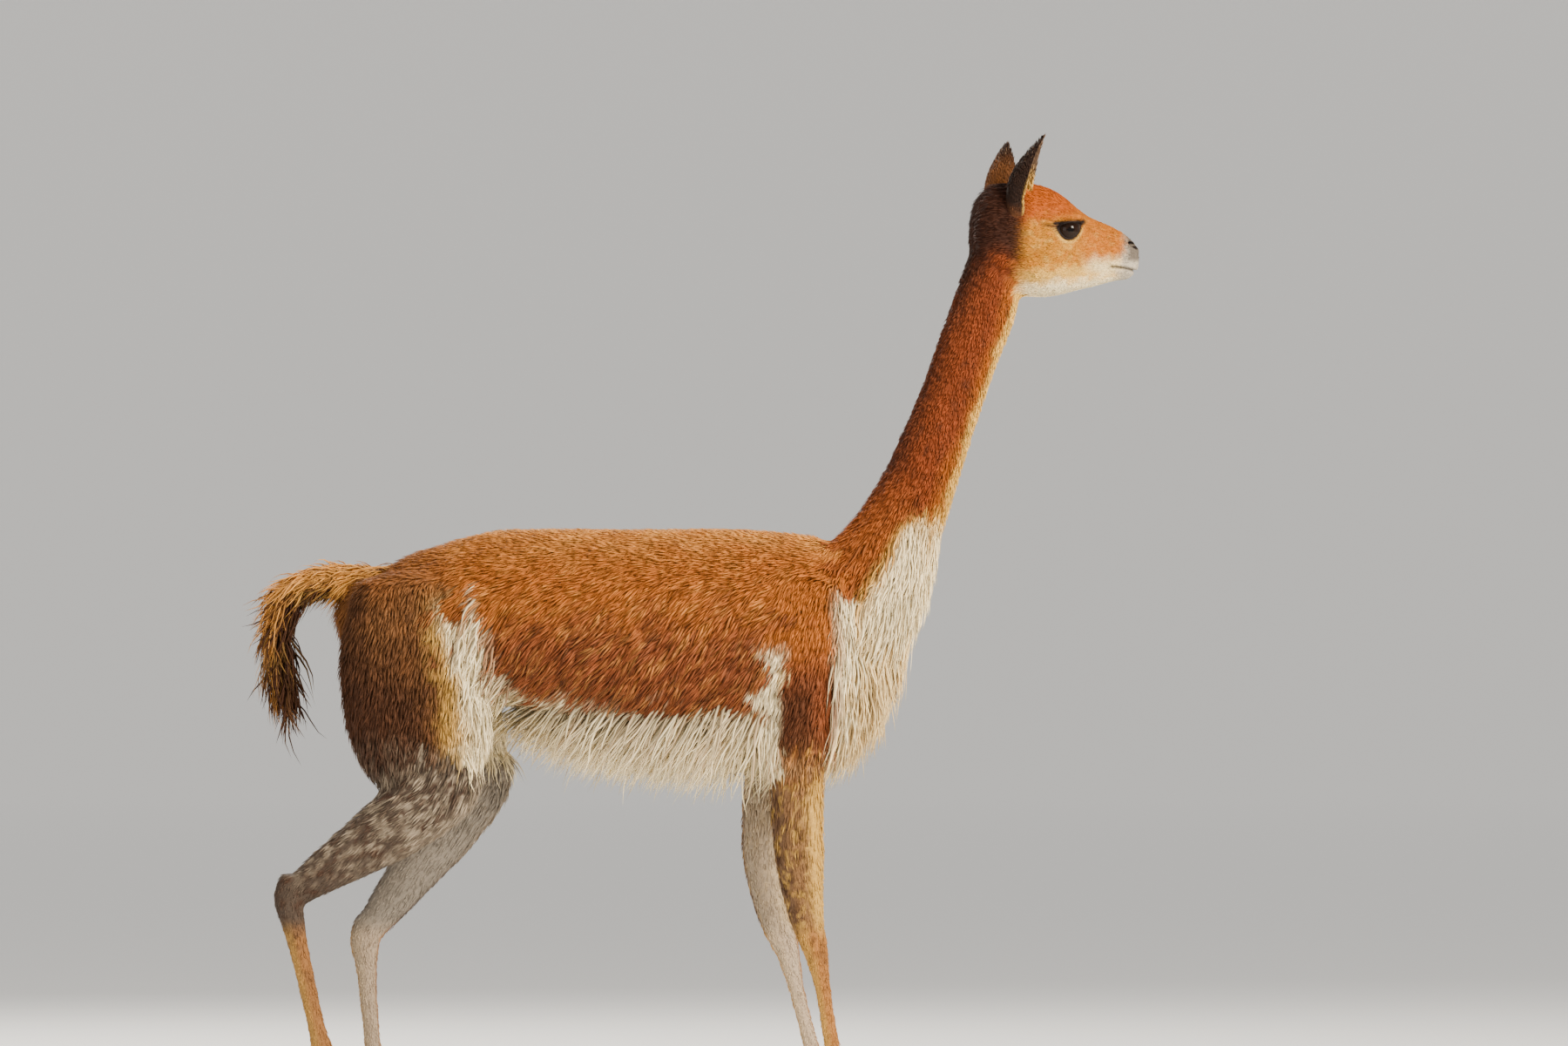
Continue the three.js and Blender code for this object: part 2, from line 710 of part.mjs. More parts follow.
// The tail's hair: long on the outside of its curve, short underneath
function plantTail() {
  const path = new THREE.CatmullRomCurve3(TAIL.map((s) => vec(s[0], s[1], s[2])));
  const rows = 7;
  const around = 4;
  for (let i = 0; i < rows; i++) {
    const t = mix(0.3, 0.95, i / (rows - 1));
    const along = path.getTangent(t);
    const inner = along.clone().cross(vec(0, 1, 0)).normalize();
    for (let j = 0; j < around; j++) {
      const angle = (2 * Math.PI * (j + 0.5 * (i % 2))) / around;
      const out = inner.clone().multiplyScalar(Math.cos(angle)).add(vec(0, Math.sin(angle), 0));
      const outside = 0.5 - 0.5 * Math.cos(angle);
      plant("tail", path.getPoint(t), out, {
        flow: along,
        hang: along.clone().multiplyScalar(0.8).add(vec(-0.12 * outside, 0, -0.7)),
        length: mix(36, 78, outside) * (t > 0.85 ? 0.8 : 1),
        width: 23,
        thick: 8,
        lift: mix(0.25, 0.8, outside),
        stray: 0.2,
        sunk: 4,
      });
    }
  }
}

plantApron();
plantBellyFringe();
plantLegFringes();
plantTail();

// Cuts that belong to one node: the mouth, nostrils and eye openings, and the hollow of each ear
const ownCuts = new Map([
  ["head", headCuts()],
  ["ear_left", turned(earLoft(EARS.left, 0, true))],
  ["ear_right", turned(earLoft(EARS.right, 0, true))],
]);

const apart = (a, b) => a.intersect(b).isEmpty();

function finishNodes() {
  const made = new Map();
  const names = [...cores.keys()];
  const lockUnions = new Map();
  names.forEach((name, i) => {
    const core = cores.get(name);
    let body = tight.get(name);
    for (const earlier of names.slice(0, i)) {
      if (!apart(body, wide.get(earlier))) body = body.subtract(wide.get(earlier));
    }
    if (ownCuts.has(name)) body = body.subtract(ownCuts.get(name));
    body = largest(body);
    if (core.locks.length) {
      let hair = join(core.locks.map((lock) => lockSolid(lock, 0)));
      for (const other of names) {
        if (other !== name && !apart(hair, wide.get(other))) hair = hair.subtract(wide.get(other));
      }
      for (const grown of lockUnions.values()) hair = hair.subtract(grown);
      lockUnions.set(name, join(core.locks.map((lock) => lockSolid(lock, GAP))));
      body = largest(body.add(hair));
    }
    made.set(name, { body, colour: core.colour });
  });
  return made;
}

const nodes = finishNodes();
nodes.set("eye_left", { body: eyeBall(1), colour: "eye_dark" });
nodes.set("eye_right", { body: eyeBall(-1), colour: "eye_dark" });

// The nails, each let into the tip of its toe
for (const [place, legs] of [
  ["hind", HIND],
  ["fore", FORE],
]) {
  for (const side of ["right", "left"]) {
    for (const [toe, label] of [
      [-1, "inner"],
      [1, "outer"],
    ]) {
      const foot = nodes.get(`${place}_foot_${side}`);
      const body = nail(legs[side].foot, side, toe, 0);
      foot.body = largest(foot.body.subtract(nail(legs[side].foot, side, toe, GAP)));
      nodes.set(`nail_${place}_${side}_${label}`, { body, colour: "nail_dark" });
    }
  }
}

const vicuna = new THREE.Group();
for (const [name, { body, colour }] of nodes) {
  const material = new THREE.MeshStandardMaterial({
    color: COLOURS[colour],
    roughness: colour === "eye_dark" ? 0.12 : 0.85,
    metalness: 0,
  });
  const mesh = new THREE.Mesh(geometryOf(body), material);
  mesh.name = name;
  vicuna.add(mesh);
}

// The whole is centred over its own box
const box = new THREE.Box3().setFromObject(vicuna);
const middle = box.getCenter(vec(0, 0, 0));
vicuna.position.set(-middle.x, -middle.y, -box.min.z);

export default vicuna;
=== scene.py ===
"""A standing vicuna: one skin, eyes, nails and a coat of joined tufts, in metres, +X the way it faces."""

import math

import bmesh
import bpy
import numpy as np
from mathutils import Matrix, Vector, noise
from mathutils.kdtree import KDTree


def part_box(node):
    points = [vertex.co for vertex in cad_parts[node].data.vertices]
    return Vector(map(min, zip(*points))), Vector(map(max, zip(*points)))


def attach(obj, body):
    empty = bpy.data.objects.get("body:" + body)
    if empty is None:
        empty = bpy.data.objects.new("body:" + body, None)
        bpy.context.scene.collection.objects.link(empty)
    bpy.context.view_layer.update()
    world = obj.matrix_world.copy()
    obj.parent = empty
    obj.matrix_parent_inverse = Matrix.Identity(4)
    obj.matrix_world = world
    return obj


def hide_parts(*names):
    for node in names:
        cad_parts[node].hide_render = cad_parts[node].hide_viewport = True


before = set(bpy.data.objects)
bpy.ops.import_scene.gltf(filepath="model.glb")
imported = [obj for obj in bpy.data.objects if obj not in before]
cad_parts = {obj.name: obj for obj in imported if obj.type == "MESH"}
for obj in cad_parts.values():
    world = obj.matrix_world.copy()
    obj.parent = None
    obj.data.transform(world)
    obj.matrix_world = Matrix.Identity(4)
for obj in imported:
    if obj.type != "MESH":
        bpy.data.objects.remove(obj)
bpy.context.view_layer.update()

bl_info = {
    "name": "Vicuna coat",
    "version": (1, 0, 0),
    "blender": (4, 5, 0),
    "location": "View3D > Sidebar > Vicuna",
    "description": "Builds a vicuna's skin, eyes, nails and coat, and a studio round it",
    "category": "Object",
}

SEED = 7
MM = 0.001

# How far each joint stands from the midline, in millimetres
HIP_Y = 66
STIFLE_Y = 82
HOCK_Y = 64
HIND_FOOT_Y = 62
SHOULDER_Y = 66
ELBOW_Y = 74
KNEE_Y = 60
FORE_FOOT_Y = 56

# Lengths over and under the toe's joint, in millimetres
PASTERN = 50
TOE = 44

# The left eye and nostril before the head turns, what it turns about and by how much
EYE_R = 17.5
EYE = np.array((656.0, 39.0, 1287.0))
NOSTRIL = np.array((755.0, 15.0, 1266.0))
HEAD_PIVOT = np.array((548.0, 0.0, 1280.0))
HEAD_TURN = math.radians(9)

# Stations are x, y, z, half the size seen from the side and half the width, in millimetres
TRUNK = [
    (-379, 0, 730, 40, 52),
    (-361, 0, 710, 83, 88),
    (-326, 0, 697, 110, 112),
    (-276, 0, 703, 129, 128),
    (-176, 0, 728, 133, 132),
    (-100, 0, 726, 140, 140),
    (0, 0, 712, 153, 146),
    (100, 0, 706, 160, 144),
    (176, 0, 702, 164, 136),
    (251, 0, 696, 165, 124),
    (301, 0, 693, 164, 112),
    (351, 0, 698, 152, 98),
    (392, 0, 712, 126, 80),
    (424, 0, 724, 86, 58),
    (441, 0, 734, 44, 34),
]
NECK = [
    (345, 0, 735, 98, 82),
    (385, 0, 795, 84, 72),
    (417, 0, 858, 67, 61),
    (445, 0, 920, 59, 55),
    (469, 0, 983, 55, 50),
    (493, 0, 1046, 52, 48),
    (515, 0, 1109, 52, 47),
    (537, 0, 1167, 53, 47),
    (553, 0, 1222, 50, 48),
    (562, 0, 1262, 45, 50),
]
HEAD = [
    (528, 0, 1281, 45, 38),
    (536, 0, 1281, 59, 45),
    (549, 0, 1280, 71, 50),
    (572, 0, 1276, 80, 54),
    (598, 0, 1274, 83, 56),
    (622, 0, 1271, 82, 57),
    (642, 0, 1268, 77, 55),
    (660, 0, 1264, 69, 51),
    (678, 0, 1259, 59, 44),
    (697, 0, 1255, 51, 37),
    (716, 0, 1254, 45, 32),
    (734, 0, 1252, 38, 28),
    (750, 0, 1250, 30, 24),
    (763, 0, 1248, 18, 17),
]
TAIL = [
    (-326, 0, 776, 25, 26),
    (-358, 0, 782, 19, 20),
    (-392, -2, 786, 16, 16),
    (-433, -5, 779, 15, 15),
    (-459, -8, 758, 14, 14),
    (-473, -10, 722, 14, 13),
    (-474, -12, 678, 14, 13),
    (-468, -13, 634, 12, 11),
    (-464, -13, 604, 7, 7),
]

# A foot is x, y, z of its upper end and the slopes of pastern and toe in degrees from straight down
LEGS = {
    "hind_right": {
        "upper": [
            (-300, HIP_Y, 765, 80, 62),
            (-291, HIP_Y + 4, 690, 105, 70),
            (-279, HIP_Y + 9, 615, 113, 72),
            (-269, STIFLE_Y - 4, 552, 106, 66),
            (-258, STIFLE_Y, 512, 88, 58),
        ],
        "lower": [
            (-228, STIFLE_Y, 528, 60, 54),
            (-248, STIFLE_Y, 486, 66, 54),
            (-300, STIFLE_Y - 4, 438, 57, 47),
            (-358, STIFLE_Y - 9, 398, 47, 39),
            (-412, HOCK_Y + 4, 362, 36, 32),
            (-446, HOCK_Y, 338, 28, 27),
        ],
        "cannon": [
            (-450, HOCK_Y, 352, 27, 26),
            (-460, HOCK_Y, 324, 25, 24),
            (-454, HOCK_Y, 288, 20, 19),
            (-444, HOCK_Y, 244, 17, 17),
            (-432, HIND_FOOT_Y, 190, 16, 16),
            (-420, HIND_FOOT_Y, 138, 16, 16),
            (-412, HIND_FOOT_Y, 104, 20, 20),
        ],
        "foot": (-410, HIND_FOOT_Y, 94, 10, 22),
    },
    "hind_left": {
        "upper": [
            (-300, HIP_Y, 765, 80, 62),
            (-286, HIP_Y + 4, 690, 105, 70),
            (-262, HIP_Y + 9, 615, 108, 72),
            (-238, STIFLE_Y - 4, 552, 96, 66),
            (-220, STIFLE_Y, 512, 78, 58),
        ],
        "lower": [
            (-186, STIFLE_Y, 535, 55, 54),
            (-200, STIFLE_Y, 486, 60, 54),
            (-238, STIFLE_Y - 4, 424, 52, 47),
            (-284, STIFLE_Y - 9, 362, 42, 39),
            (-322, HOCK_Y + 4, 312, 34, 32),
            (-346, HOCK_Y, 280, 27, 27),
        ],
        "cannon": [
            (-345, HOCK_Y, 290, 26, 26),
            (-354, HOCK_Y, 262, 25, 24),
            (-352, HOCK_Y, 226, 19, 19),
            (-349, HOCK_Y, 180, 16, 17),
            (-345, HIND_FOOT_Y, 134, 15, 16),
            (-341, HIND_FOOT_Y, 96, 16, 16),
            (-338, HIND_FOOT_Y, 67, 19, 20),
        ],
        "foot": (-336, HIND_FOOT_Y, 61, 38, 74),
    },
    "fore_right": {
        "upper": [
            (300, SHOULDER_Y - 8, 762, 58, 50),
            (284, SHOULDER_Y, 680, 66, 62),
            (272, SHOULDER_Y + 4, 604, 62, 62),
            (268, ELBOW_Y - 2, 540, 54, 54),
            (268, ELBOW_Y, 508, 42, 44),
        ],
        "lower": [
            (268, ELBOW_Y, 552, 42, 42),
            (269, ELBOW_Y, 498, 45, 42),
            (270, ELBOW_Y - 3, 440, 44, 39),
            (274, ELBOW_Y - 7, 376, 40, 35),
            (281, KNEE_Y + 3, 314, 33, 30),
            (290, KNEE_Y, 268, 25, 26),
            (296, KNEE_Y, 244, 20, 22),
        ],
        "cannon": [
            (291, KNEE_Y, 276, 23, 24),
            (298, KNEE_Y, 244, 20, 21),
            (306, KNEE_Y, 201, 15, 16),
            (313, KNEE_Y, 157, 14, 15),
            (321, FORE_FOOT_Y, 107, 15, 16),
            (327, FORE_FOOT_Y, 69, 19, 20),
        ],
        "foot": (328, FORE_FOOT_Y, 62, 36, 74),
    },
    "fore_left": {
        "upper": [
            (290, SHOULDER_Y - 8, 762, 58, 50),
            (262, SHOULDER_Y, 680, 64, 62),
            (244, SHOULDER_Y + 4, 604, 60, 62),
            (236, ELBOW_Y - 2, 540, 52, 54),
            (234, ELBOW_Y, 508, 42, 44),
        ],
        "lower": [
            (236, ELBOW_Y, 552, 42, 42),
            (232, ELBOW_Y, 498, 44, 42),
            (224, ELBOW_Y - 3, 440, 40, 38),
            (222, ELBOW_Y - 7, 376, 35, 34),
            (232, KNEE_Y + 3, 314, 30, 30),
            (246, KNEE_Y, 268, 25, 26),
            (255, KNEE_Y, 244, 20, 22),
        ],
        "cannon": [
            (248, KNEE_Y, 276, 23, 24),
            (257, KNEE_Y, 244, 20, 21),
            (267, KNEE_Y, 201, 15, 16),
            (278, KNEE_Y, 157, 14, 15),
            (291, FORE_FOOT_Y, 107, 15, 16),
            (301, FORE_FOOT_Y, 69, 19, 20),
        ],
        "foot": (303, FORE_FOOT_Y, 61, 38, 74),
    },
}

# Each ear's base, tip and the way it opens
EARS = {
    "right": ((575, -29, 1280), (616, -62, 1420), (0.92, -0.40, -0.15)),
    "left": ((563, 27, 1280), (584, 62, 1414), (0.45, 0.89, -0.05)),
}

# Share of an ear's length, half width
EAR_SHAPE = [
    (0, 7), (0.14, 13), (0.3, 20), (0.48, 24), (0.65, 20.5), (0.82, 12.5), (0.94, 5.5), (1, 1.5),
]

# Share of an ear's length, how far round its wall reaches to each side in degrees
EAR_REACH = [(0, 168), (0.2, 152), (0.36, 122), (0.65, 108), (1, 92)]
EAR_ROWS = 44
EAR_COLUMNS = 33
EAR_WALL = 2.2

# Half the length of the opening between the lids
LID_HALF = 21

# Rounded forms of the left of the head, as centre and radii: lip, brow, eyeball, cheek, side of the jaw
HEAD_FORMS = (
    ((756, 8, 1242), (11, 10, 14)),
    ((656, 36, 1306), (26, 12, 9)),
    (EYE, (EYE_R + 1.5,) * 3),
    ((615, 34, 1240), (38, 22, 32)),
    ((686, 27, 1240), (34, 9, 12)),
)
CHIN = ((742, 0, 1224), (16, 14, 10))

# Coat depth over the skin by part, in millimetres
DEPTH = {
    "trunk": 12, "neck": 8, "head": 1.5, "tail": 5, "upper": 11, "lower": 6, "cannon": 3, "foot": 1.5,
}

# Colours, linear: name, what it paints, value
PALETTE = (
    ("gold", "Top of the back", (0.74, 0.33, 0.070)),
    ("tan", "Back and shoulder", (0.38, 0.11, 0.018)),
    ("rust", "Low flank", (0.235, 0.064, 0.021)),
    # umber is the dark hair's own colour, and also painted shade on the low rear of the thigh, haunch and
    # upper arm
    ("umber", "Dark hair", (0.055, 0.021, 0.010)),
    ("red", "Neck", (0.215, 0.045, 0.012)),
    # painted shade: the back of the neck darkened as if turned from the light
    ("nape", "Nape", (0.08, 0.024, 0.010)),
    ("crown", "Crown", (0.42, 0.085, 0.006)),
    ("orange", "Muzzle", (0.46, 0.135, 0.009)),
    ("cream", "Cream hair", (0.70, 0.41, 0.085)),
    ("white", "White hair", (0.95, 0.80, 0.50)),
    ("grey", "Grey hair", (0.42, 0.335, 0.235)),
    # shank: the shank's own dark brown, made darker still as painted shade
    ("shank", "Shank", (0.078, 0.054, 0.039)),
    # ear: near black, painted shade on the back of the right ear; on the poll partly dark hair, partly
    # painted shade
    ("ear", "Back of the ears", (0.018, 0.008, 0.005)),
    ("dark", "Bare skin", (0.015, 0.009, 0.008)),
)

# Colours of small places, linear
HAUNCH = (0.20, 0.078, 0.024)
# THIGH: the thigh's own brown, made darker as painted shade
THIGH = (0.175, 0.073, 0.025)
CHEEK = (0.47, 0.185, 0.012)
LIP = (0.88, 0.72, 0.42)
NOSE = (0.50, 0.43, 0.33)
NOSE_TOP = (0.07, 0.052, 0.043)
FOREARM = (0.25, 0.125, 0.05)
FOREARM_BACK = (0.10, 0.058, 0.036)
INNER_SHANK = (0.24, 0.205, 0.165)
CANNON = (0.40, 0.165, 0.042)
INNER_CANNON = (0.55, 0.46, 0.34)
TOES = (0.30, 0.22, 0.15)
EAR_CUP = (0.17, 0.105, 0.065)
EAR_MIDDLE = (0.13, 0.047, 0.014)
EAR_FOOT = (0.10, 0.036, 0.013)
EYE_PUPIL = (0.003, 0.002, 0.002)
EYE_IRIS = (0.012, 0.006, 0.004)
EYE_RIM = (0.014, 0.009, 0.007)

# Pupil and iris, against the eye's radius
PUPIL_HALF = 0.30
PUPIL_HEIGHT = 0.19
IRIS_R = 0.74

# A nail's stations: along the toe, over it, and the half sizes, in millimetres
NAIL = ((-13, 9, 5, 6), (0, 8, 5.5, 6.5), (10, 4, 4, 5), (17, 0, 1.5, 2))

# Where the white of the underside begins on the trunk: x, z
WHITE_EDGE = [
    (-330, 560), (-250, 590), (-226, 640), (-204, 715), (-190, 762), (-176, 715), (-150, 650),
    (-105, 610), (0, 590), (200, 584), (240, 600), (255, 712), (270, 640), (300, 585), (318, 600),
    (340, 720), (372, 800), (400, 815), (430, 830),
]

# Parts of the coat that are grown apart, by the code stored on the skin
REGION = {"head": 0, "neck": 1, "back": 2, "rump": 3, "thigh": 4, "arm": 5, "leg": 6, "tail": 7}

# Tufts: name, rings before the tip
TUFTS = {"short": 2, "lock": 5}

# Width of a lock in millimetres
LOCK_WIDTH = 4.2
TAIL_LOCK_WIDTH = 3.6

# Coat pieces: name, tuft, full count, slot, then lift, stray, droop, curl, waves and thinness
COAT = (
    ("coat_head", "short", 18000, "coat_tawny", (0.28, 0.14, 0.0, 0.0, 1.0, 0.4)),
    ("coat_neck", "short", 19000, "coat_rust", (0.40, 0.22, 0.0, 0.0, 1.0, 0.45)),
    ("coat_back", "short", 18500, "coat_tawny", (0.28, 0.18, 0.0, 0.0, 1.0, 0.4)),
    ("coat_rump", "short", 18500, "coat_tawny", (0.28, 0.18, 0.0, 0.0, 1.0, 0.4)),
    ("coat_thighs", "short", 15500, "coat_tawny", (0.30, 0.20, 0.0, 0.0, 1.0, 0.4)),
    ("coat_arms", "short", 10500, "coat_tawny", (0.28, 0.18, 0.0, 0.0, 1.0, 0.4)),
    ("coat_legs", "short", 16500, "coat_legs", (0.24, 0.16, 0.0, 0.0, 1.0, 0.4)),
    ("coat_tail", "lock", 3200, "coat_tawny", (1.0, 0.45, 0.25, 0.12, 0.8, 0.4)),
    ("coat_breast", "lock", 4150, "coat_white", (0.42, 0.20, 0.32, 0.09, 0.9, 0.4)),
    ("coat_belly", "lock", 2700, "coat_white", (0.75, 0.28, 0.60, 0.12, 0.9, 0.35)),
    ("coat_fringe", "lock", 2100, "coat_white", (0.45, 0.26, 0.45, 0.14, 0.9, 0.35)),
)

# Nodes that the skin and the nails stand for
FLESH_NODES = ["torso", "head", "neck", "tail", "ear_left", "ear_right"]
for _side in ("left", "right"):
    FLESH_NODES += [p + _side for p in ("thigh_", "shank_", "hind_cannon_", "hind_foot_")]
    FLESH_NODES += [p + _side for p in ("upper_arm_", "forearm_", "fore_cannon_", "fore_foot_")]
NAIL_NODES = [
    f"nail_{end}_{side}_{toe}"
    for end in ("hind", "fore")
    for side in ("left", "right")
    for toe in ("inner", "outer")
]

# How the skin is worked, in metres: where the head is divided finer, where it is carved, and its soles
FINE_FROM = (0.53, 0.605)
FINE_ABOVE = 1.15
CARVE_FROM = 0.54
CARVE_ABOVE = 1.17
SOLE = 0.0008

# Studio, in metres
CAMERA_X = 0.132
CAMERA_Z = 0.865
CAMERA_AWAY = 25.1
LENS = 400
LIGHT_AIM = (0.1, 0, 0.75)
FLOOR_FLAT = 30
FLOOR_CURVE = 9
FLOOR_RIM = 14
FLOOR_SIDES = 64

# Lights: name, place, size, share of the key light's power, colour
LIGHTS = (
    ("key", (3.4, -3.4, 3.6), 1.8, 1.0, (1.0, 0.91, 0.77)),
    ("fill", (-3.8, -4.2, 2.0), 3.5, 0.14, (1.0, 0.97, 0.92)),
    ("rim", (-1.5, 4.0, 3.8), 2.5, 0.4, (1.0, 0.95, 0.86)),
)


# Numbers and places
def smooth(low, high, value):
    """0 up to low, 1 from high on, and an ease between them."""
    share = np.clip((value - low) / (high - low), 0, 1)
    return share * share * (3 - 2 * share)


def bump(value, width):
    """1 where the value is 0, less the further it is from 0."""
    return np.exp(-((value / width) ** 2))


def unit(vectors):
    return vectors / np.maximum(np.linalg.norm(vectors, axis=-1, keepdims=True), 1e-9)


def over(base, other, share):
    """Rows of base with the other laid over them by the share."""
    share = np.broadcast_to(share, len(base))[:, None]
    return base * (1 - share) + np.asarray(other) * share


def layered(rows, *layers):
    """Rows of colours, with the colour of each layer laid over them by its share."""
    for other, share in layers:
        rows = over(rows, other, share)
    return rows


def coloured(colour, count, *layers):
    """Rows of one colour, with each layer laid over them."""
    return layered(np.tile(colour, (count, 1)).astype(float), *layers)


def cubic(rows, where):
    """Smooth values through rows at places from 0 to 1, a row at each equal step."""
    rows = np.asarray(rows, float)
    place = np.clip(np.asarray(where, float), 0, 1) * (len(rows) - 1)
    i = np.minimum(place.astype(int), len(rows) - 2)
    f = (place - i)[:, None]
    ends = np.vstack([2 * rows[0] - rows[1], rows, 2 * rows[-1] - rows[-2]])
    a, b, c, d = (ends[i + k] for k in range(4))
    return b + 0.5 * f * (c - a + f * (2 * a - 5 * b + 4 * c - d + f * (3 * (b - c) + d - a)))


def head_turn(points, back=False):
    """Points of the straight head turned to where it looks, or back again."""
    angle = -HEAD_TURN if back else HEAD_TURN
    c, s = math.cos(angle), math.sin(angle)
    rel = np.asarray(points, float) - HEAD_PIVOT
    x, y, z = rel[..., 0], rel[..., 1], rel[..., 2]
    return np.stack([x * c - y * s, x * s + y * c, z], -1) + HEAD_PIVOT


def design_shift():
    """From design millimetres to the frame, found from where the right eye lies."""
    low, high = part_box("eye_right")
    return np.array((low + high) / 2) / MM - head_turn(EYE * (1, -1, 1))


def from_nearer(point, q):
    """Each place of q, seen from a point of the left side or from its mirror image."""
    return q - point * np.where(q[:, 1:2] > 0, 1, np.array((1, -1, 1)))


def on_side(name, stations):
    flip = 1 if name.endswith("left") else -1
    return [(s[0], s[1] * flip, *s[2:]) for s in stations]


def wander(points, scale, seed=0.0):
    """Three smooth random values for each point, from -1 to 1."""
    shift = Vector((seed * 17.3, seed * 5.1, seed * 9.7))
    return np.array([noise.noise_vector(Vector(p) / scale + shift) for p in points])


# Flesh
class Flesh:
    """Gathers closed surfaces, and samples of where each part lies and which way it runs."""

    SIDES = 28
    STEPS = 8

    def __init__(self):
        self.points = []
        self.faces = []
        self.samples = []
        self.names = []

    def add(self, points, faces):
        start = sum(len(p) for p in self.points)
        self.points.append(np.asarray(points, float))
        self.faces.extend(tuple(start + i for i in face) for face in faces)

    def close(self, points, around, rings):
        """Adds rings of points as one closed surface, with its first and last point at the ends."""
        last = len(points) - 1
        faces = []
        for j in range(around):
            k = (j + 1) % around
            faces.append((0, 1 + j, 1 + k))
            for i in range(rings - 1):
                a = 1 + i * around
                faces.append((a + j, a + around + j, a + around + k, a + k))
            end = 1 + (rings - 1) * around
            faces.append((end + k, end + j, last))
        self.add(points, faces)

    def loft(self, name, stations, depth, square=2.15, caps=(14, 14), facing=None, lean=0.0, turn=False):
        """Adds a limb through stations, drawn in by the coat's depth, and gives back how it runs."""
        stations = np.array(stations, float)
        t = np.linspace(0, 1, self.STEPS * len(stations))
        rows = cubic(stations, t)
        if facing is None:
            tangent = unit(np.gradient(rows[:, :3], axis=0))
        else:
            tangent = np.tile(np.array(facing, float), (len(t), 1))
        across = np.array((0.0, 1.0, 0.0))
        side = unit(across - tangent * (tangent @ across)[:, None])
        fore = np.cross(tangent, side)
        angle = np.linspace(0, 2 * math.pi, self.SIDES, endpoint=False)
        up = np.sign(np.cos(angle)) * np.abs(np.cos(angle)) ** (2 / square)
        out = np.sign(np.sin(angle)) * np.abs(np.sin(angle)) ** (2 / square) * (1 - lean * up)
        size = np.maximum(rows[:, 3:5] - depth, 2)

        def ring(i, scale=1, shift=0):
            centre = rows[i, :3] + tangent[i] * shift
            return centre + scale * (
                up[:, None] * fore[i] * size[i, 0] + out[:, None] * side[i] * size[i, 1]
            )

        start, end = (max(cap - depth, 1) for cap in caps)
        rings = [ring(0, 0.75, -0.66 * start)]
        rings += [ring(i) for i in range(len(t))]
        rings += [ring(-1, 0.75, 0.66 * end)]
        tips = rows[0, :3] - tangent[0] * start, rows[-1, :3] + tangent[-1] * end
        points = np.array([tips[0], *np.concatenate(rings), tips[1]])
        self.close(head_turn(points) if turn else points, len(angle), len(rings))
        index = len(self.names)
        self.names.append(name)
        for i in range(0, len(t), 2):
            around = head_turn(ring(i)) if turn else ring(i)
            for point in around[::2]:
                self.samples.append((point, index, i))
        return {"t": t, "rows": rows, "tangent": tangent, "side": side, "fore": fore, "size": size}

    def ball(self, centre, radii, around=20):
        """Adds a rounded form of the head."""
        a = np.linspace(0, 2 * math.pi, around, endpoint=False)
        b = np.linspace(0, math.pi, around // 2 + 1)[1:-1]
        grid = [(math.sin(v) * math.cos(u), math.sin(v) * math.sin(u), math.cos(v)) for v in b for u in a]
        points = np.vstack([(0, 0, 1), grid, (0, 0, -1)]) * radii + centre
        self.close(head_turn(points), around, len(b))


def toe_path(foot, toe):
    """Stations of one toe, bent at the joint under its pastern."""
    x, y, z, slope, flex = foot
    a, b = math.radians(slope), math.radians(flex)
    jx, jz = x + PASTERN * math.sin(a), z - PASTERN * math.cos(a)
    tx, tz = jx + TOE * math.sin(b), jz - TOE * math.cos(b)
    return [
        (x - 2, y + 6 * toe, z + 2, 17, 15),
        (0.5 * (x + jx), y + 8 * toe, 0.5 * (z + jz), 15, 13),
        (jx, y + 11 * toe, jz, 17, 13.5),
        (jx + 0.6 * (tx - jx), y + 13 * toe, jz + 0.6 * (tz - jz), 20, 12.5),
        (tx, y + 13 * toe, tz, 15, 10.5),
    ]


def trunk_under():
    """The trunk under its coat, which is deepest over the breast."""
    rows = []
    for x, y, z, tall, wide in TRUNK:
        deep = DEPTH["trunk"] + 16 * float(smooth(270, 380, x))
        x = x - 10 * float(smooth(300, 440, x))
        rows.append((x, y, z, max(tall - deep, 12), max(wide - deep, 12)))
    return rows


def flesh_parts():
    """All the lofts and rounded forms, and the way each loft runs."""
    flesh = Flesh()
    runs = [
        flesh.loft("trunk", trunk_under(), 0, 2.25, (10, 8), (1, 0, 0), 0.1),
        flesh.loft("neck", NECK, DEPTH["neck"], 2.0, (30, 20)),
        flesh.loft("head", HEAD, DEPTH["head"], 2.2, (9, 4), (1, 0, 0), 0.12, True),
        flesh.loft("tail", TAIL, DEPTH["tail"], 2.0, (20, 8)),
    ]
    for name, leg in LEGS.items():
        knee_cap = 34 if name.startswith("hind") else 16
        for part, caps in (("upper", (40, knee_cap)), ("lower", (16, 12)), ("cannon", (8, 8))):
            stations = on_side(name, leg[part])
            runs.append(flesh.loft(f"{name}_{part}", stations, DEPTH[part], caps=caps))
        for toe in (-1, 1):
            stations = on_side(name, toe_path(leg["foot"], toe))
            runs.append(flesh.loft(f"{name}_foot", stations, DEPTH["foot"], 2.3, (10, 8)))
    flesh.ball(*CHIN)
    for s in (-1, 1):
        for centre, radii in HEAD_FORMS:
            flesh.ball(np.array(centre) * (1, s, 1), radii)
    return flesh, runs


# Arrays of a mesh
def read(items, name, width=3, kind=float):
    """A row of values for each item of a mesh."""
    raw = np.empty(len(items) * width, np.float32 if kind is float else np.int32)
    items.foreach_get(name, raw)
    return raw.reshape(-1, width).astype(kind)


def places(mesh):
    return read(mesh.vertices, "co")


def normals(mesh):
    return read(mesh.vertex_normals, "vector")


def edge_pairs(mesh):
    return read(mesh.edges, "vertices", 2, int)


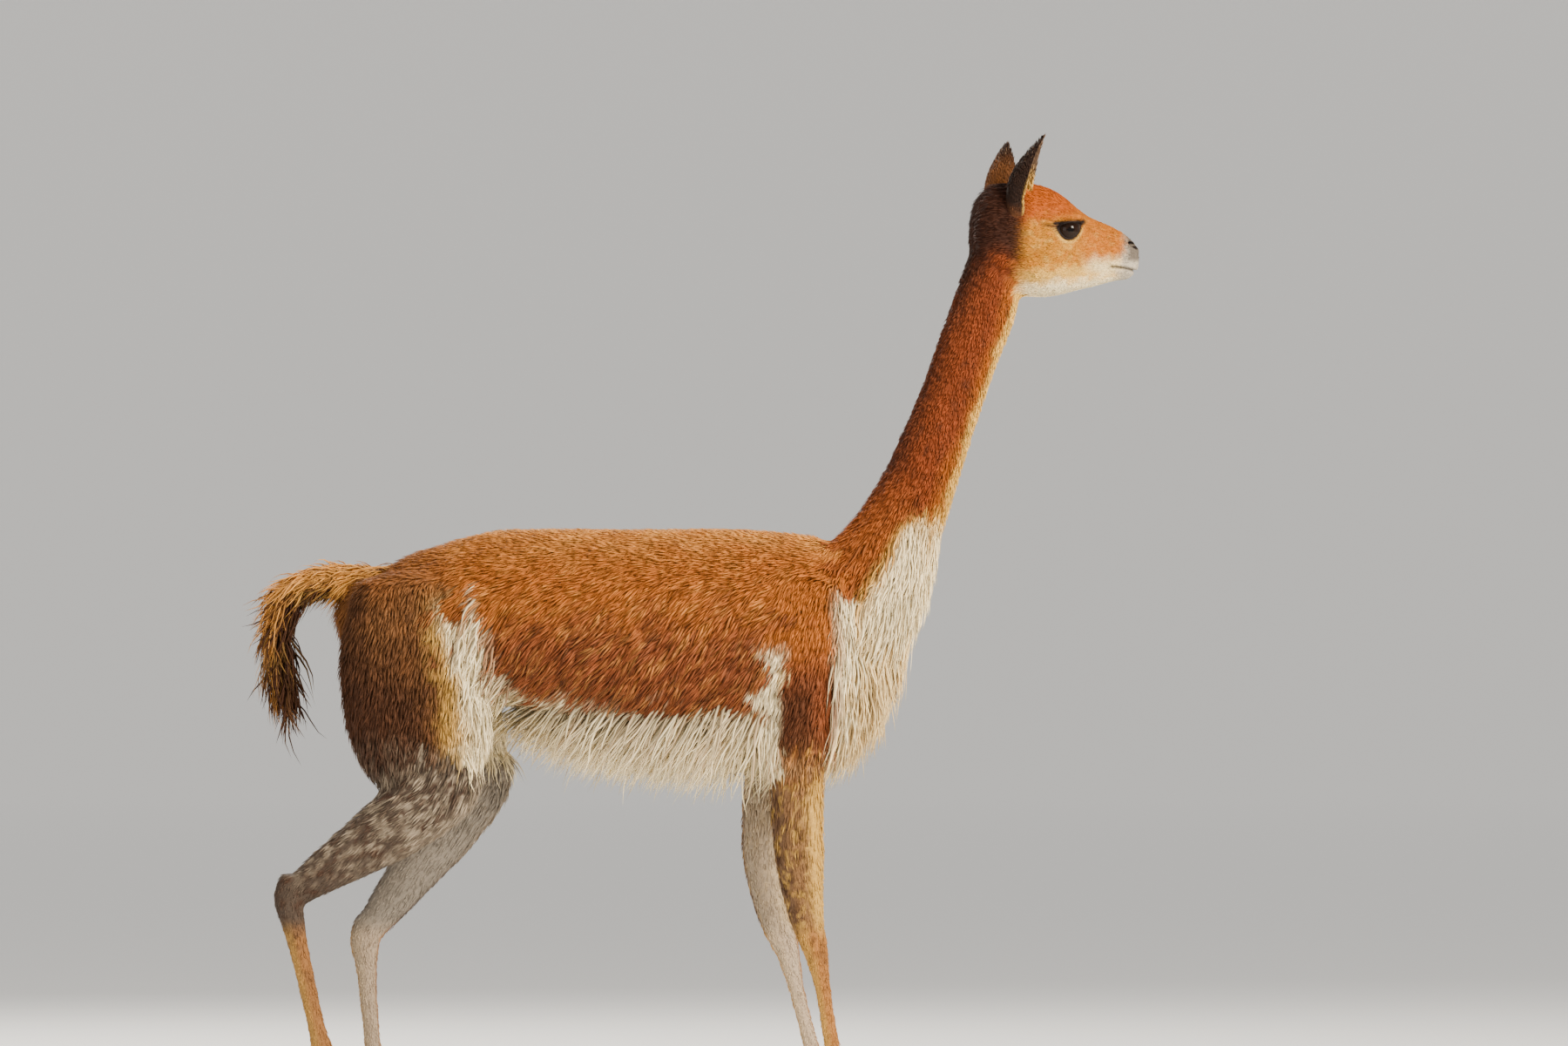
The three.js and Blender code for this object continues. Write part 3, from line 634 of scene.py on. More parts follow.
def vertex_areas(mesh):
    area = read(mesh.polygons, "area", 1)[:, 0]
    total = read(mesh.polygons, "loop_total", 1, int)[:, 0]
    corner = read(mesh.loops, "vertex_index", 1, int)[:, 0]
    return np.bincount(corner, np.repeat(area / total, total), len(mesh.vertices))


def place(mesh, points):
    mesh.vertices.foreach_set("co", np.ascontiguousarray(points, np.float32).ravel())
    mesh.update()


def store(mesh, name, kind, values):
    layer = mesh.attributes.new(name, kind, "POINT")
    fill(layer, values)


def fill(layer, values):
    """Writes values into a layer that a mesh already has."""
    key = {"FLOAT_COLOR": "color", "FLOAT": "value", "FLOAT_VECTOR": "vector"}[layer.data_type]
    layer.data.foreach_set(key, np.ascontiguousarray(values, np.float32).ravel())


def relax(values, pairs, steps, amount=0.5):
    """Draws each value towards the mean of its neighbours."""
    values = values.copy()
    count = len(values)
    degree = np.maximum(np.bincount(pairs.ravel(), minlength=count), 1)[:, None]
    amount = np.broadcast_to(np.asarray(amount, float).reshape(-1, 1), (count, 1))
    for _ in range(steps):
        total = np.empty_like(values)
        for k in range(values.shape[1]):
            total[:, k] = np.bincount(pairs[:, 0], values[pairs[:, 1], k], count)
            total[:, k] += np.bincount(pairs[:, 1], values[pairs[:, 0], k], count)
        values += amount * (total / degree - values)
    return values


def new_object(name, data):
    obj = bpy.data.objects.new(name, data)
    bpy.context.collection.objects.link(obj)
    return obj


def new_mesh(name, points, faces, triangles=False):
    """A mesh whose faces all point outwards."""
    mesh = bpy.data.meshes.new(name)
    mesh.from_pydata(points, [], faces)
    bm = bmesh.new()
    bm.from_mesh(mesh)
    bmesh.ops.recalc_face_normals(bm, faces=bm.faces)
    if triangles:
        bmesh.ops.triangulate(bm, faces=bm.faces)
    bm.to_mesh(mesh)
    bm.free()
    return mesh


def remeshed(flesh, voxel):
    """The flesh as one closed mesh of even faces."""
    mesh = bpy.data.meshes.new("flesh")
    mesh.from_pydata(np.vstack(flesh.points) * MM, [], flesh.faces)
    source = new_object("flesh", mesh)
    modifier = source.modifiers.new("Remesh", "REMESH")
    modifier.mode = "VOXEL"
    modifier.voxel_size = voxel
    result = bpy.data.meshes.new_from_object(source.evaluated_get(bpy.context.evaluated_depsgraph_get()))
    bpy.data.objects.remove(source)
    return result


def finer(mesh, chosen):
    """Divides the edges both of whose ends are chosen, and the faces between them."""
    bm = bmesh.new()
    bm.from_mesh(mesh)
    bm.verts.ensure_lookup_table()
    edges = [e for e in bm.edges if chosen[e.verts[0].index] and chosen[e.verts[1].index]]
    bmesh.ops.subdivide_edges(bm, edges=edges, cuts=1, use_grid_fill=True)
    bm.to_mesh(mesh)
    bm.free()


# Head
def lid_line(u):
    """How high the upper lid's edge stands over the eye's centre, for u from -1 to 1 along it."""
    return 4.5 + 1.8 * u + 5.5 * (1 - u * u)


def eye_gap(dx, dz):
    """How far inside the opening between the lids a place lies, in millimetres, below 0 outside."""
    u = np.clip(dx / LID_HALF, -1.6, 1.6)
    lower = 4.5 + 1.8 * u - 17.5 * (1 - np.abs(u) ** 2.3)
    return np.minimum(np.minimum(lid_line(u) - dz, dz - lower), LID_HALF * (1 - np.abs(u)))


def nostril_axes(rel):
    """How far along and across the slanting nostril each place lies."""
    return rel[:, 0] * 0.83 - rel[:, 2] * 0.56, rel[:, 0] * 0.56 + rel[:, 2] * 0.83


def mouth_line(x):
    return 1234.2 - 9.5 * np.clip((x - 720) / 50, 0, 2) ** 1.8


def carve_head(points, normal):
    """Lids, nostrils, mouth and lips, cut into a head in its own unturned frame."""
    p = points.copy()
    socket = EYE_R + 1.7
    for s in (-1, 1):
        rel = p - EYE * (1, s, 1)
        r = np.linalg.norm(rel, axis=1)
        near = (rel[:, 1] * s > -4) & (r < 36)
        gap = eye_gap(rel[:, 0], rel[:, 2])
        lid = socket - 4.8 * smooth(-0.2, 1.4, gap)
        away = smooth(3, 13, -gap)
        wanted = np.where(gap > -0.2, lid, np.maximum(r, socket) * away + (1 - away) * (EYE_R + 1.9))
        wanted = wanted - 1.6 * bump(gap + 6.5, 1.6) * (rel[:, 2] > 2)
        scale = np.where(near, wanted / np.maximum(r, 1e-6), 1)
        p = EYE * (1, s, 1) + rel * scale[:, None]
        rel = p - NOSTRIL * (1, s, 1)
        along, across = nostril_axes(rel)
        e = (along / 9.0) ** 2 + ((across + 0.03 * along * along) / 3.4) ** 2
        push = 10 * np.sqrt(np.clip(1 - e, 0, 1)) - 1.6 * bump(e - 1.7, 0.8)
        inward = unit(np.array((-0.6, -0.75 * s, 0.1)))
        close = (p[:, 1] * s > 1) & (np.linalg.norm(rel, axis=1) < 26)
        p += np.where(close, push, 0)[:, None] * inward
    gap = p[:, 2] - mouth_line(p[:, 0])
    groove = 3.6 * bump(gap, 1.7) - 1.3 * bump(gap - 5, 3) - 1.0 * bump(gap + 5, 3)
    p -= normal * (groove * smooth(715, 724, p[:, 0]))[:, None]
    cleft = bump(p[:, 1], 1.6) * smooth(752, 762, p[:, 0]) * smooth(mouth_line(760), 1240, p[:, 2])
    p[:, 0] -= 2.4 * cleft
    return p


def ear_shell(name):
    """A cupped leaf with a wall: its points and quads, and for each point whether it is on the inner
    face, its share of the length and how near the rim it is, and last the way the ear points."""
    base, tip, opening = (np.array(v, float) for v in EARS[name])
    length = np.linalg.norm(tip - base)
    along = (tip - base) / length
    opening = unit(opening - along * (opening @ along))
    side = np.cross(opening, along)
    rows, columns = EAR_ROWS, EAR_COLUMNS
    s = np.linspace(0, 1, rows)
    half = np.interp(s, *zip(*EAR_SHAPE))
    half = np.convolve(np.pad(half, 2, mode="edge"), np.ones(5) / 5, "valid")
    half[-1] = 0.7
    reach = np.radians(np.interp(s, *zip(*EAR_REACH)))
    points = []
    for wall, height in ((0, 1), (EAR_WALL, 0.985)):
        for i in range(rows):
            a = np.linspace(-reach[i], reach[i], columns)
            wide = max(half[i] - wall, 0.25)
            deep = max(0.92 * half[i] - wall, 0.15)
            lean = 7 * math.sin(math.pi * s[i])
            centre = base + along * length * s[i] * height - opening * lean
            centre = centre - opening * np.cos(a)[:, None] * deep
            points.append(centre + side * np.sin(a)[:, None] * wide)
    faces = []
    inner = rows * columns
    for i in range(rows - 1):
        for j in range(columns - 1):
            a = i * columns + j
            b = inner + a
            faces.append((a, a + 1, a + columns + 1, a + columns))
            faces.append((b, b + columns, b + columns + 1, b + 1))
        a, b = i * columns, i * columns + columns - 1
        faces.append((a, a + columns, inner + a + columns, inner + a))
        faces.append((b, inner + b, inner + b + columns, b + columns))
    for j in range(columns - 1):
        a, b = j, (rows - 1) * columns + j
        faces.append((a, inner + a, inner + a + 1, a + 1))
        faces.append((b, b + 1, inner + b + 1, inner + b))
    is_inner = np.repeat((0.0, 1.0), inner)
    share = np.tile(np.repeat(s, columns), 2)
    rim = np.tile(np.abs(np.linspace(-1, 1, columns)), 2 * rows)
    way = head_turn(HEAD_PIVOT + along) - HEAD_PIVOT
    return head_turn(np.concatenate(points)), faces, is_inner, share, rim, way


# Markings and combing
class Body:
    """The skin as arrays in design millimetres, with what each vertex belongs to."""

    def __init__(self, mesh, flesh, runs, settings):
        for name, _label, _value in PALETTE:
            setattr(self, name, np.array(getattr(settings, name)))
        self.mesh = mesh
        self.p = places(mesh) / MM
        self.n = normals(mesh)
        tree = KDTree(len(flesh.samples))
        for i, sample in enumerate(flesh.samples):
            tree.insert(sample[0], i)
        tree.balance()
        nearest = np.array([tree.find(Vector(q))[1] for q in self.p])
        part = np.array([flesh.samples[i][1] for i in nearest])
        step = np.array([flesh.samples[i][2] for i in nearest])
        self.name = np.array(flesh.names)[part]
        self.local = self.p.copy()
        on_head = self.on("head")
        self.local[on_head] = head_turn(self.local[on_head], back=True)
        count = len(self.p)
        self.along = np.zeros((count, 3))
        self.fore = np.zeros(count)
        self.side = np.zeros(count)
        self.t = np.zeros(count)
        for index, run in enumerate(runs):
            mine = part == index
            i = step[mine]
            rel = self.local[mine] - run["rows"][i, :3]
            self.along[mine] = run["tangent"][i]
            self.fore[mine] = (rel * run["fore"][i]).sum(1) / run["size"][i, 0]
            self.side[mine] = (rel * run["side"][i]).sum(1) / run["size"][i, 1]
            self.t[mine] = run["t"][i]

    def on(self, *words):
        """Which vertices lie on a part whose name holds one of the words."""
        return np.any([np.char.find(self.name, word) >= 0 for word in words], axis=0)


def paint_trunk(b, wob, fine):
    x, z = b.p[:, 0], b.p[:, 2]
    haunch = smooth(-190, -270, x + 20 * wob[:, 2]) * smooth(880, 745, z + 30 * wob[:, 0])
    white = smooth(22, -22, z - np.interp(x, *zip(*WHITE_EDGE)) + 20 * wob[:, 2] + 40 * fine[:, 1])
    under = coloured(b.white, len(x), (b.cream, 0.5 * smooth(560, 620, z) * smooth(0, 300, x)))
    return coloured(
        b.tan,
        len(x),
        (b.gold, smooth(795, 888, z + 22 * wob[:, 0])),
        (b.rust, smooth(770, 690, z + 30 * wob[:, 1])),
        # dark speckles, stronger lower down: painted shade in the gaps between locks
        (b.umber, 0.85 * smooth(0.05, 0.5, fine[:, 0]) * smooth(850, 690, z)),
        (b.gold, 0.35 * smooth(0.1, 0.5, fine[:, 2]) * smooth(860, 760, z)),
        (HAUNCH, haunch),
        # the low haunch: partly dark hair, partly painted shade
        (b.umber, 0.7 * haunch * smooth(770, 620, z + 25 * wob[:, 1])),
        (under, white),
    )


def paint_neck(b, wob, fine):
    z, fore = b.p[:, 2], b.fore
    behind = smooth(-0.3, 0.6, fore + 0.2 * fine[:, 2])
    low = smooth(905, 825, z + 30 * wob[:, 2] + 25 * fine[:, 2]) * smooth(-0.25, 0.3, -fore)
    return coloured(
        b.red,
        len(z),
        # painted shade on the back of the neck
        (b.nape, 0.75 * smooth(0.1, 0.95, fore + 0.15 * wob[:, 0]) * smooth(860, 960, z)),
        # the poll: partly dark hair, partly painted shade under the ears
        (b.ear, 0.8 * smooth(1170, 1265, z + 25 * wob[:, 1]) * behind),
        (b.tan, 0.6 * smooth(960, 830, z) * smooth(-0.6, 0.3, fore)),
        # painted light: the front of the neck made lighter orange where it faces the light
        (b.orange, 0.5 * smooth(-0.3, -0.8, fore + 0.2 * wob[:, 0])),
        (b.umber, 0.55 * smooth(0.1, 0.6, fine[:, 0])),
        (b.cream, smooth(0.70, 0.93, 0.12 * wob[:, 1] + 0.12 * fine[:, 1] - fore)),
        (b.cream, 0.7 * smooth(0, 0.5, low)),
        (b.white, 0.9 * smooth(0.4, 1, low)),
    )


def paint_head(b, wob, fine):
    """Face, muzzle and poll first, then what lies round the eye, the mouth and the nostril."""
    q = b.local
    x, y, z = q[:, 0], np.abs(q[:, 1]), q[:, 2]
    top = smooth(1288, 1314, z + 8 * wob[:, 0] + 8 * fine[:, 2] + (620 - x) * 0.05)
    behind = smooth(600, 576, x + 6 * wob[:, 1]) * smooth(1205, 1275, z + 16 * wob[:, 2])
    level = z + 0.09 * (640 - x) + 6 * wob[:, 2] + 7 * fine[:, 1]
    lip_side = smooth(668, 705, x) * smooth(1256, 1234, z + 7 * fine[:, 2]) * smooth(1218, 1232, z)
    face = coloured(
        CHEEK,
        len(x),
        (b.cream, 0.4 * smooth(0.0, 0.5, fine[:, 0])),
        (b.orange, 0.5 * smooth(0.1, 0.5, fine[:, 1])),
        (b.crown, top * smooth(716, 676, x)),
        (b.orange, smooth(650, 695, x) * smooth(1232, 1254, z + 9 * wob[:, 1] + 8 * fine[:, 0])),
        (b.cream, 0.25 * smooth(0.0, 0.6, fine[:, 1]) * smooth(660, 690, x)),
        (b.red, smooth(606, 566, x + 10 * wob[:, 0]) * smooth(1200, 1225, z)),
        # the poll: partly dark hair, partly painted shade under the ears
        (b.ear, 0.9 * behind),
        (b.cream, smooth(1242, 1226, level) * smooth(572, 606, x)),
        (b.white, smooth(1222, 1204, level) * smooth(572, 606, x)),
        (LIP, 0.8 * lip_side),
        (NOSE, smooth(728, 748, x + 0.25 * (1250 - z) + 9 * fine[:, 2])),
        (NOSE_TOP, 0.85 * smooth(738, 752, x) * smooth(1238, 1247, z)),
    )
    rel = from_nearer(EYE, q)
    dx, dz = rel[:, 0], rel[:, 2]
    close = np.abs(rel[:, 1]) < 40
    gap = eye_gap(dx, dz)
    ring = bump(gap + 4.5, 3.2) * (dz < 3) * close * (np.abs(dx) < 27)
    upper = bump(dz - 10.5 - 0.05 * dx, 3.7) * smooth(-30, -20, dx) * smooth(33, 22, dx) * close
    stripe = bump(dz - 5 + 0.10 * (dx + 22), 2.8) * smooth(-46, -30, dx) * smooth(-14, -22, dx) * close
    along, across = nostril_axes(from_nearer(NOSTRIL, q))
    hole = smooth(1.6, 0.7, (along / 9) ** 2 + (across / 3.6) ** 2)
    split = smooth(6, 0, np.abs(z - 1258 + 0.4 * (x - 752))) * smooth(752, 762, x) * (y < 8)
    seam = bump(z - mouth_line(x), 2.0) * smooth(714, 722, x)
    return layered(
        face,
        (b.cream, 0.8 * ring),
        (b.dark, smooth(-3.2, -1.0, gap) * close),
        (b.dark, np.clip(1.15 * upper, 0, 1)),
        (b.umber, 0.85 * stripe),
        (b.dark, 0.85 * seam),
        (b.dark, hole * (y > 3)),
        (b.umber, 0.5 * split),
    )


def paint_upper(b, wob, fine):
    x, z = b.p[:, 0], b.p[:, 2]
    f = b.fore + 0.12 * wob[:, 0] + 0.10 * fine[:, 0]
    knee = smooth(575, 495, z + 20 * wob[:, 2]) * smooth(0.75, 0.4, f)
    thigh = coloured(
        THIGH,
        len(x),
        (b.tan, 0.7 * smooth(735, 850, z + 30 * wob[:, 0])),
        # the low rear of the thigh: partly dark hair, partly painted shade
        (b.umber, 0.9 * smooth(770, 610, z + 25 * wob[:, 1]) * smooth(0.6, -0.2, f)),
        (b.umber, 0.65 * smooth(-0.35, -0.8, f)),
        (b.umber, 0.5 * smooth(0.0, 0.6, fine[:, 1])),
        (b.cream, 0.7 * smooth(0.20, 0.62, f) * smooth(790, 690, z)),
        (b.white, smooth(0.50, 0.84, f) * smooth(775, 700, z)),
        (b.shank, knee),
        (b.grey, 0.6 * knee * smooth(0.0, 0.45, fine[:, 0])),
    )
    arm = coloured(
        b.tan,
        len(x),
        (b.rust, smooth(720, 640, z + 20 * wob[:, 1])),
        # the low rear of the upper arm: partly dark hair, partly painted shade
        (b.umber, 0.8 * smooth(690, 610, z + 20 * wob[:, 2]) * smooth(0.75, 0.1, f)),
        (FOREARM, smooth(590, 505, z + 25 * wob[:, 1])),
        (b.white, smooth(316, 340, x + 10 * wob[:, 0])),
        (b.white, 0.9 * smooth(-0.34, -0.64, f) * smooth(708, 672, z)),
    )
    inner = smooth(0.25, 0.7, -b.side * np.sign(b.p[:, 1]))
    return over(np.where(b.on("hind")[:, None], thigh, arm), b.white, 0.8 * inner * smooth(700, 620, z))


def paint_leg(b, wob, fine):
    z = b.p[:, 2]
    f = b.fore + 0.12 * wob[:, 0] + 0.15 * fine[:, 0]
    hind = b.on("hind")[:, None]
    inner = smooth(0.1, 0.6, -b.side * np.sign(b.p[:, 1]))
    shank = coloured(
        b.shank,
        len(z),
        (b.umber, 0.7 * smooth(0.0, 0.5, fine[:, 1])),
        (b.grey, 0.75 * smooth(-0.05, 0.35, fine[:, 0]) * smooth(300, 450, z + 30 * wob[:, 1])),
        (b.grey, 0.5 * smooth(0.5, 0.95, f) * smooth(330, 460, z)),
        (INNER_SHANK, 0.9 * inner),
    )
    arm = coloured(
        FOREARM,
        len(z),
        (b.cream, 0.75 * smooth(0.1, 0.7, f)),
        (FOREARM_BACK, 0.7 * smooth(-0.1, -0.7, f)),
        (b.umber, 0.75 * smooth(0.0, 0.4, fine[:, 1]) * smooth(0.7, 0.0, f)),
        (b.cream, 0.6 * smooth(0.1, 0.45, fine[:, 2])),
        (b.tan, 0.5 * smooth(470, 540, z)),
        (b.grey, 0.8 * inner),
    )
    cannon = coloured(
        CANNON,
        len(z),
        (b.cream, 0.55 * smooth(0.1, -0.6, f)),
        (b.umber, 0.55 * smooth(0.1, 0.45, fine[:, 1]) * smooth(150, 260, z)),
        (INNER_CANNON, 0.75 * inner),
    )
    cannon = np.where(hind, over(cannon, b.shank, 0.3), cannon)
    leg = over(np.where(hind, shank, arm), cannon, smooth(300, 260, z))
    return over(leg, TOES, 0.5 * smooth(70, 20, z))


def paint_tail(b, wob, fine):
    # darker where the tail faces down and over most of the hanging part, gold where it faces up and back:
    # partly darker hair, partly painted shade
    up = b.n[:, 2] * smooth(0.5, 0.3, b.t) - b.n[:, 0] * smooth(0.3, 0.6, b.t)
    return coloured(
        b.gold,
        len(up),
        (b.umber, smooth(0.20, -0.40, up - 1.05 * smooth(0.30, 0.70, b.t) + 0.3 * wob[:, 0])),
        (b.cream, 0.5 * smooth(0.2, 0.6, fine[:, 0]) * smooth(1, 0.3, b.t)),
    )


def markings(b, wob):
    """The colour of each place of the skin."""
    fine = wander(b.p, 9, 2)
    fine_long = wander(b.p * (1, 1, 0.45), 7, 3)
    colours = np.zeros((len(b.p), 3))
    for words, rule, speckle in (
        (("trunk",), paint_trunk, fine_long),
        (("neck",), paint_neck, fine_long),
        (("head",), paint_head, fine),
        (("tail",), paint_tail, fine),
        (("upper",), paint_upper, fine_long),
        (("lower", "cannon", "foot"), paint_leg, fine),
    ):
        mine = b.on(*words)
        colours[mine] = rule(b, wob, speckle)[mine]
    return np.clip(colours, 0.004, 0.95)


def hair_lie(b, wob, pairs):
    """The way the hair lies along the skin."""
    neck, head, tail, upper, trunk = (b.on(word) for word in ("neck", "head", "tail", "upper", "trunk"))
    legs = b.on("lower", "cannon", "foot")
    lie = np.tile((-1.0, 0.0, -0.25), (len(b.p), 1))
    lie[:, 2] -= 1.1 * smooth(0.9, -0.2, b.n[:, 2])
    lie = over(lie, (0.0, 0.0, -1.0), smooth(280, 350, b.p[:, 0]) * trunk)
    lie[neck] = -b.along[neck]
    lie[head] = head_turn(HEAD_PIVOT + np.array((-1.0, 0, -0.12))) - HEAD_PIVOT
    lie[tail] = b.along[tail]
    lie[legs] = b.along[legs]
    lie[upper] = b.along[upper] + np.array((-0.3, 0, -0.5))
    lie = lie + (0.32 + 0.25 * trunk - 0.25 * head)[:, None] * wob
    lie = lie - b.n * (lie * b.n).sum(1)[:, None]
    lie = unit(relax(unit(lie), pairs, 14))
    waves = 0.10 + 0.28 * (trunk | upper) + 0.12 * neck
    lie = lie + waves[:, None] * wander(b.p, 15, 8)
    return unit(lie - b.n * (lie * b.n).sum(1)[:, None])


def hair_size(b, pairs):
    """The length and width of the short hair, in millimetres."""
    count = len(b.p)
    z = b.p[:, 2]
    low = smooth(890, 690, z)
    thick = smooth(350, 470, z)
    sizes = np.zeros((2, count))
    for word, *size in (
        ("trunk", 14 + 20 * low, 2.7 + 1.2 * low),
        ("neck", 11 + 9 * smooth(1010, 830, z), 2.5),
        ("head", 6.0, 1.7),
        ("tail", 34, 3.6),
        ("upper", 15 + 10 * low, 2.9 + 0.6 * low),
        ("lower", 9 + 10 * thick, 2.2 + 0.8 * thick),
        ("cannon", 7, 1.9),
        ("foot", 5.5, 1.7),
    ):
        mine = b.on(word)
        for row, value in zip(sizes, size):
            row[mine] = np.broadcast_to(value, count)[mine]
    length, width = sizes
    x, z = b.local[:, 0], b.local[:, 2]
    head = b.on("head")
    crown = smooth(1312, 1330, z) * smooth(700, 660, x) * head
    face = smooth(590, 680, x) * head
    poll = smooth(600, 560, x) * head
    length = length * (1 + 0.5 * crown) * (1 - 0.35 * face) * (1 + 0.9 * poll)
    width = width * (1 - 0.2 * face)
    return [relax(value[:, None], pairs, 10)[:, 0] for value in (length, width)]


def hair_keep(b):
    """How much hair grows at each place: none on lids, nose and mouth."""
    q = b.local
    head = b.on("head")
    gap = np.full(len(q), -99.0)
    for s in (-1, 1):
        rel = q - EYE * (1, s, 1)
        near = head & (np.linalg.norm(rel, axis=1) < 40)
        gap[near] = eye_gap(rel[near, 0], rel[near, 2])
    bare = smooth(-4.5, -1.5, gap) * head
    nose = head * smooth(744, 754, q[:, 0])
    mouth = head * bump(q[:, 2] - mouth_line(q[:, 0]), 2.6) * smooth(714, 722, q[:, 0])
    return np.clip(1 - bare - 0.9 * nose - mouth, 0, 1)


def regions(b):
    region = np.full(len(b.p), float(REGION["back"]))
    region[b.on("trunk") & (b.p[:, 0] < 20)] = REGION["rump"]
    for word in ("head", "neck", "tail"):
        region[b.on(word)] = REGION[word]
    region[b.on("lower", "cannon", "foot")] = REGION["leg"]
    region[b.on("upper") & b.on("hind")] = REGION["thigh"]
    region[b.on("upper") & b.on("fore")] = REGION["arm"]
    return region


# Skin
def add_ears(mesh, body):
    """Joins both ears to the skin, and gives back their colours and combing."""
    bm = bmesh.new()
    bm.from_mesh(mesh)
    ears = {"colour": [], "lie": [], "inner": [], "share": []}
    for name in ("left", "right"):
        points, faces, inner, share, rim, way = ear_shell(name)
        count = len(points)
        # painted shade: the right ear's back stays near black, as if turned from the light; the left ear
        # gets its brown and orange hair
        if name == "left":
            own = (
                (EAR_MIDDLE, smooth(0.95, 0.6, share) * smooth(0.95, 0.7, rim)),
                (body.orange, 0.9 * smooth(0.55, 0.25, share + 0.1 * wander(points, 9, 5)[:, 0])),
            )
        else:
            own = ((EAR_FOOT, smooth(0.34, 0.16, share)),)
        edge = (body.cream, 0.8 * smooth(0.93, 0.99, rim) * smooth(0.62, 0.35, share))
        back = coloured(body.ear, count, *own, edge)
        cup = coloured(EAR_CUP, count, (body.cream, smooth(0.45, 0.9, rim) * smooth(0.75, 0.35, share)))
        ears["colour"].append(np.where(inner[:, None] > 0.5, cup, back))
        ears["lie"].append(np.tile(way, (count, 1)))
        ears["inner"].append(inner)
        ears["share"].append(share)
        verts = [bm.verts.new(Vector(p) * MM) for p in points]
        for face in faces:
            bm.faces.new([verts[i] for i in face])
    bmesh.ops.recalc_face_normals(bm, faces=bm.faces)
    bm.to_mesh(mesh)
    bm.free()
    return {key: np.concatenate(value) for key, value in ears.items()}


def shaped_skin(flesh, grain):
    """The flesh as one skin, eased at the joints, finer over the head and carved there."""
    mesh = remeshed(flesh, grain)
    points = relax(places(mesh), edge_pairs(mesh), 3, 0.5)
    joints = smooth(0.04, 0.0, np.abs(points[:, 2] - 0.58) - 0.15)
    points = relax(points, edge_pairs(mesh), 16, 0.5 * joints * (points[:, 0] < 0.42))
    place(mesh, points)
    for reach in FINE_FROM:
        at = places(mesh)
        finer(mesh, (at[:, 0] > reach) & (at[:, 2] > FINE_ABOVE))
        at = places(mesh)
        head = smooth(reach, reach + 0.02, at[:, 0]) * (at[:, 2] > FINE_ABOVE)
        place(mesh, relax(at, edge_pairs(mesh), 3, 0.45 * head))
    at = places(mesh)
    at[:, 2] = np.maximum(at[:, 2], SOLE)
    local = head_turn(at / MM, back=True)
    head = (at[:, 0] > CARVE_FROM) & (at[:, 2] > CARVE_ABOVE)
    turned = head_turn(normals(mesh) + HEAD_PIVOT, back=True) - HEAD_PIVOT
    carved = head_turn(carve_head(local, turned)) * MM
    at[head] = carved[head]
    place(mesh, at)
    return mesh


def make_skin(settings):
    """The whole skin with its markings and combing stored on it."""
    noise.seed_set(settings.seed)
    flesh, runs = flesh_parts()
    mesh = shaped_skin(flesh, settings.grain)
    body = Body(mesh, flesh, runs, settings)
    wob = wander(body.p, 42, 1)
    pairs = edge_pairs(mesh)
    length, width = hair_size(body, pairs)
    lie = hair_lie(body, wob, pairs)
    colour = markings(body, wob)
    ears = add_ears(mesh, body)
    extra = len(ears["inner"])
    points = (places(mesh) / MM + design_shift()) * MM
    points[:, 2] = np.maximum(points[:, 2], 0.0)
    place(mesh, points)
    tint = np.ones((len(points), 4))
    tint[:, :3] = np.vstack([colour, ears["colour"]])
    store(mesh, "tint", "FLOAT_COLOR", tint)
    store(mesh, "grow_lie", "FLOAT_VECTOR", np.vstack([lie, ears["lie"]]))
    for name, scale, own, on_ears in (
        ("grow_length", MM, length, np.where(ears["inner"] > 0.5, 11, 6)),
        ("grow_width", MM, width, np.full(extra, 1.9)),
        ("grow_keep", 1, hair_keep(body), smooth(0.06, 0.14, ears["share"])),
        ("grow_region", 1, regions(body), np.full(extra, REGION["head"])),
    ):
        store(mesh, name, "FLOAT", scale * np.concatenate([own, on_ears]))
    return mesh


# Tufts
def tuft_template(kind):
    """A thin closed blade from x = 0 to 1, with how far along and across each point lies."""
    rings = TUFTS[kind]
    points, across, faces = [], [], [(0, 1, 2)]
    for i in range(rings):
        s = i / rings
        r = 0.5 * (0.75 + 0.9 * s if s < 0.28 else 1.0 - 0.95 * ((s - 0.28) / 0.72) ** 1.6)
        for y, z in ((-1, -0.35), (1, -0.35), (0, 1)):
            points.append((s, y * r, z * r))
            across.append(y * 0.5)
    for j in range(3 * rings):
        following = j - 2 if j % 3 == 2 else j + 1
        last = j >= 3 * (rings - 1)
        faces.append((following, j, 3 * rings) if last else (following, j, j + 3, following + 3))
    points.append((1.0, 0.0, 0.0))
    across.append(0.0)
    mesh = new_mesh("tuft_" + kind, points, faces, triangles=True)
    store(mesh, "along", "FLOAT", [point[0] for point in points])
    store(mesh, "across", "FLOAT", across)
    obj = new_object(mesh.name, mesh)
    obj.hide_render = True
    return obj


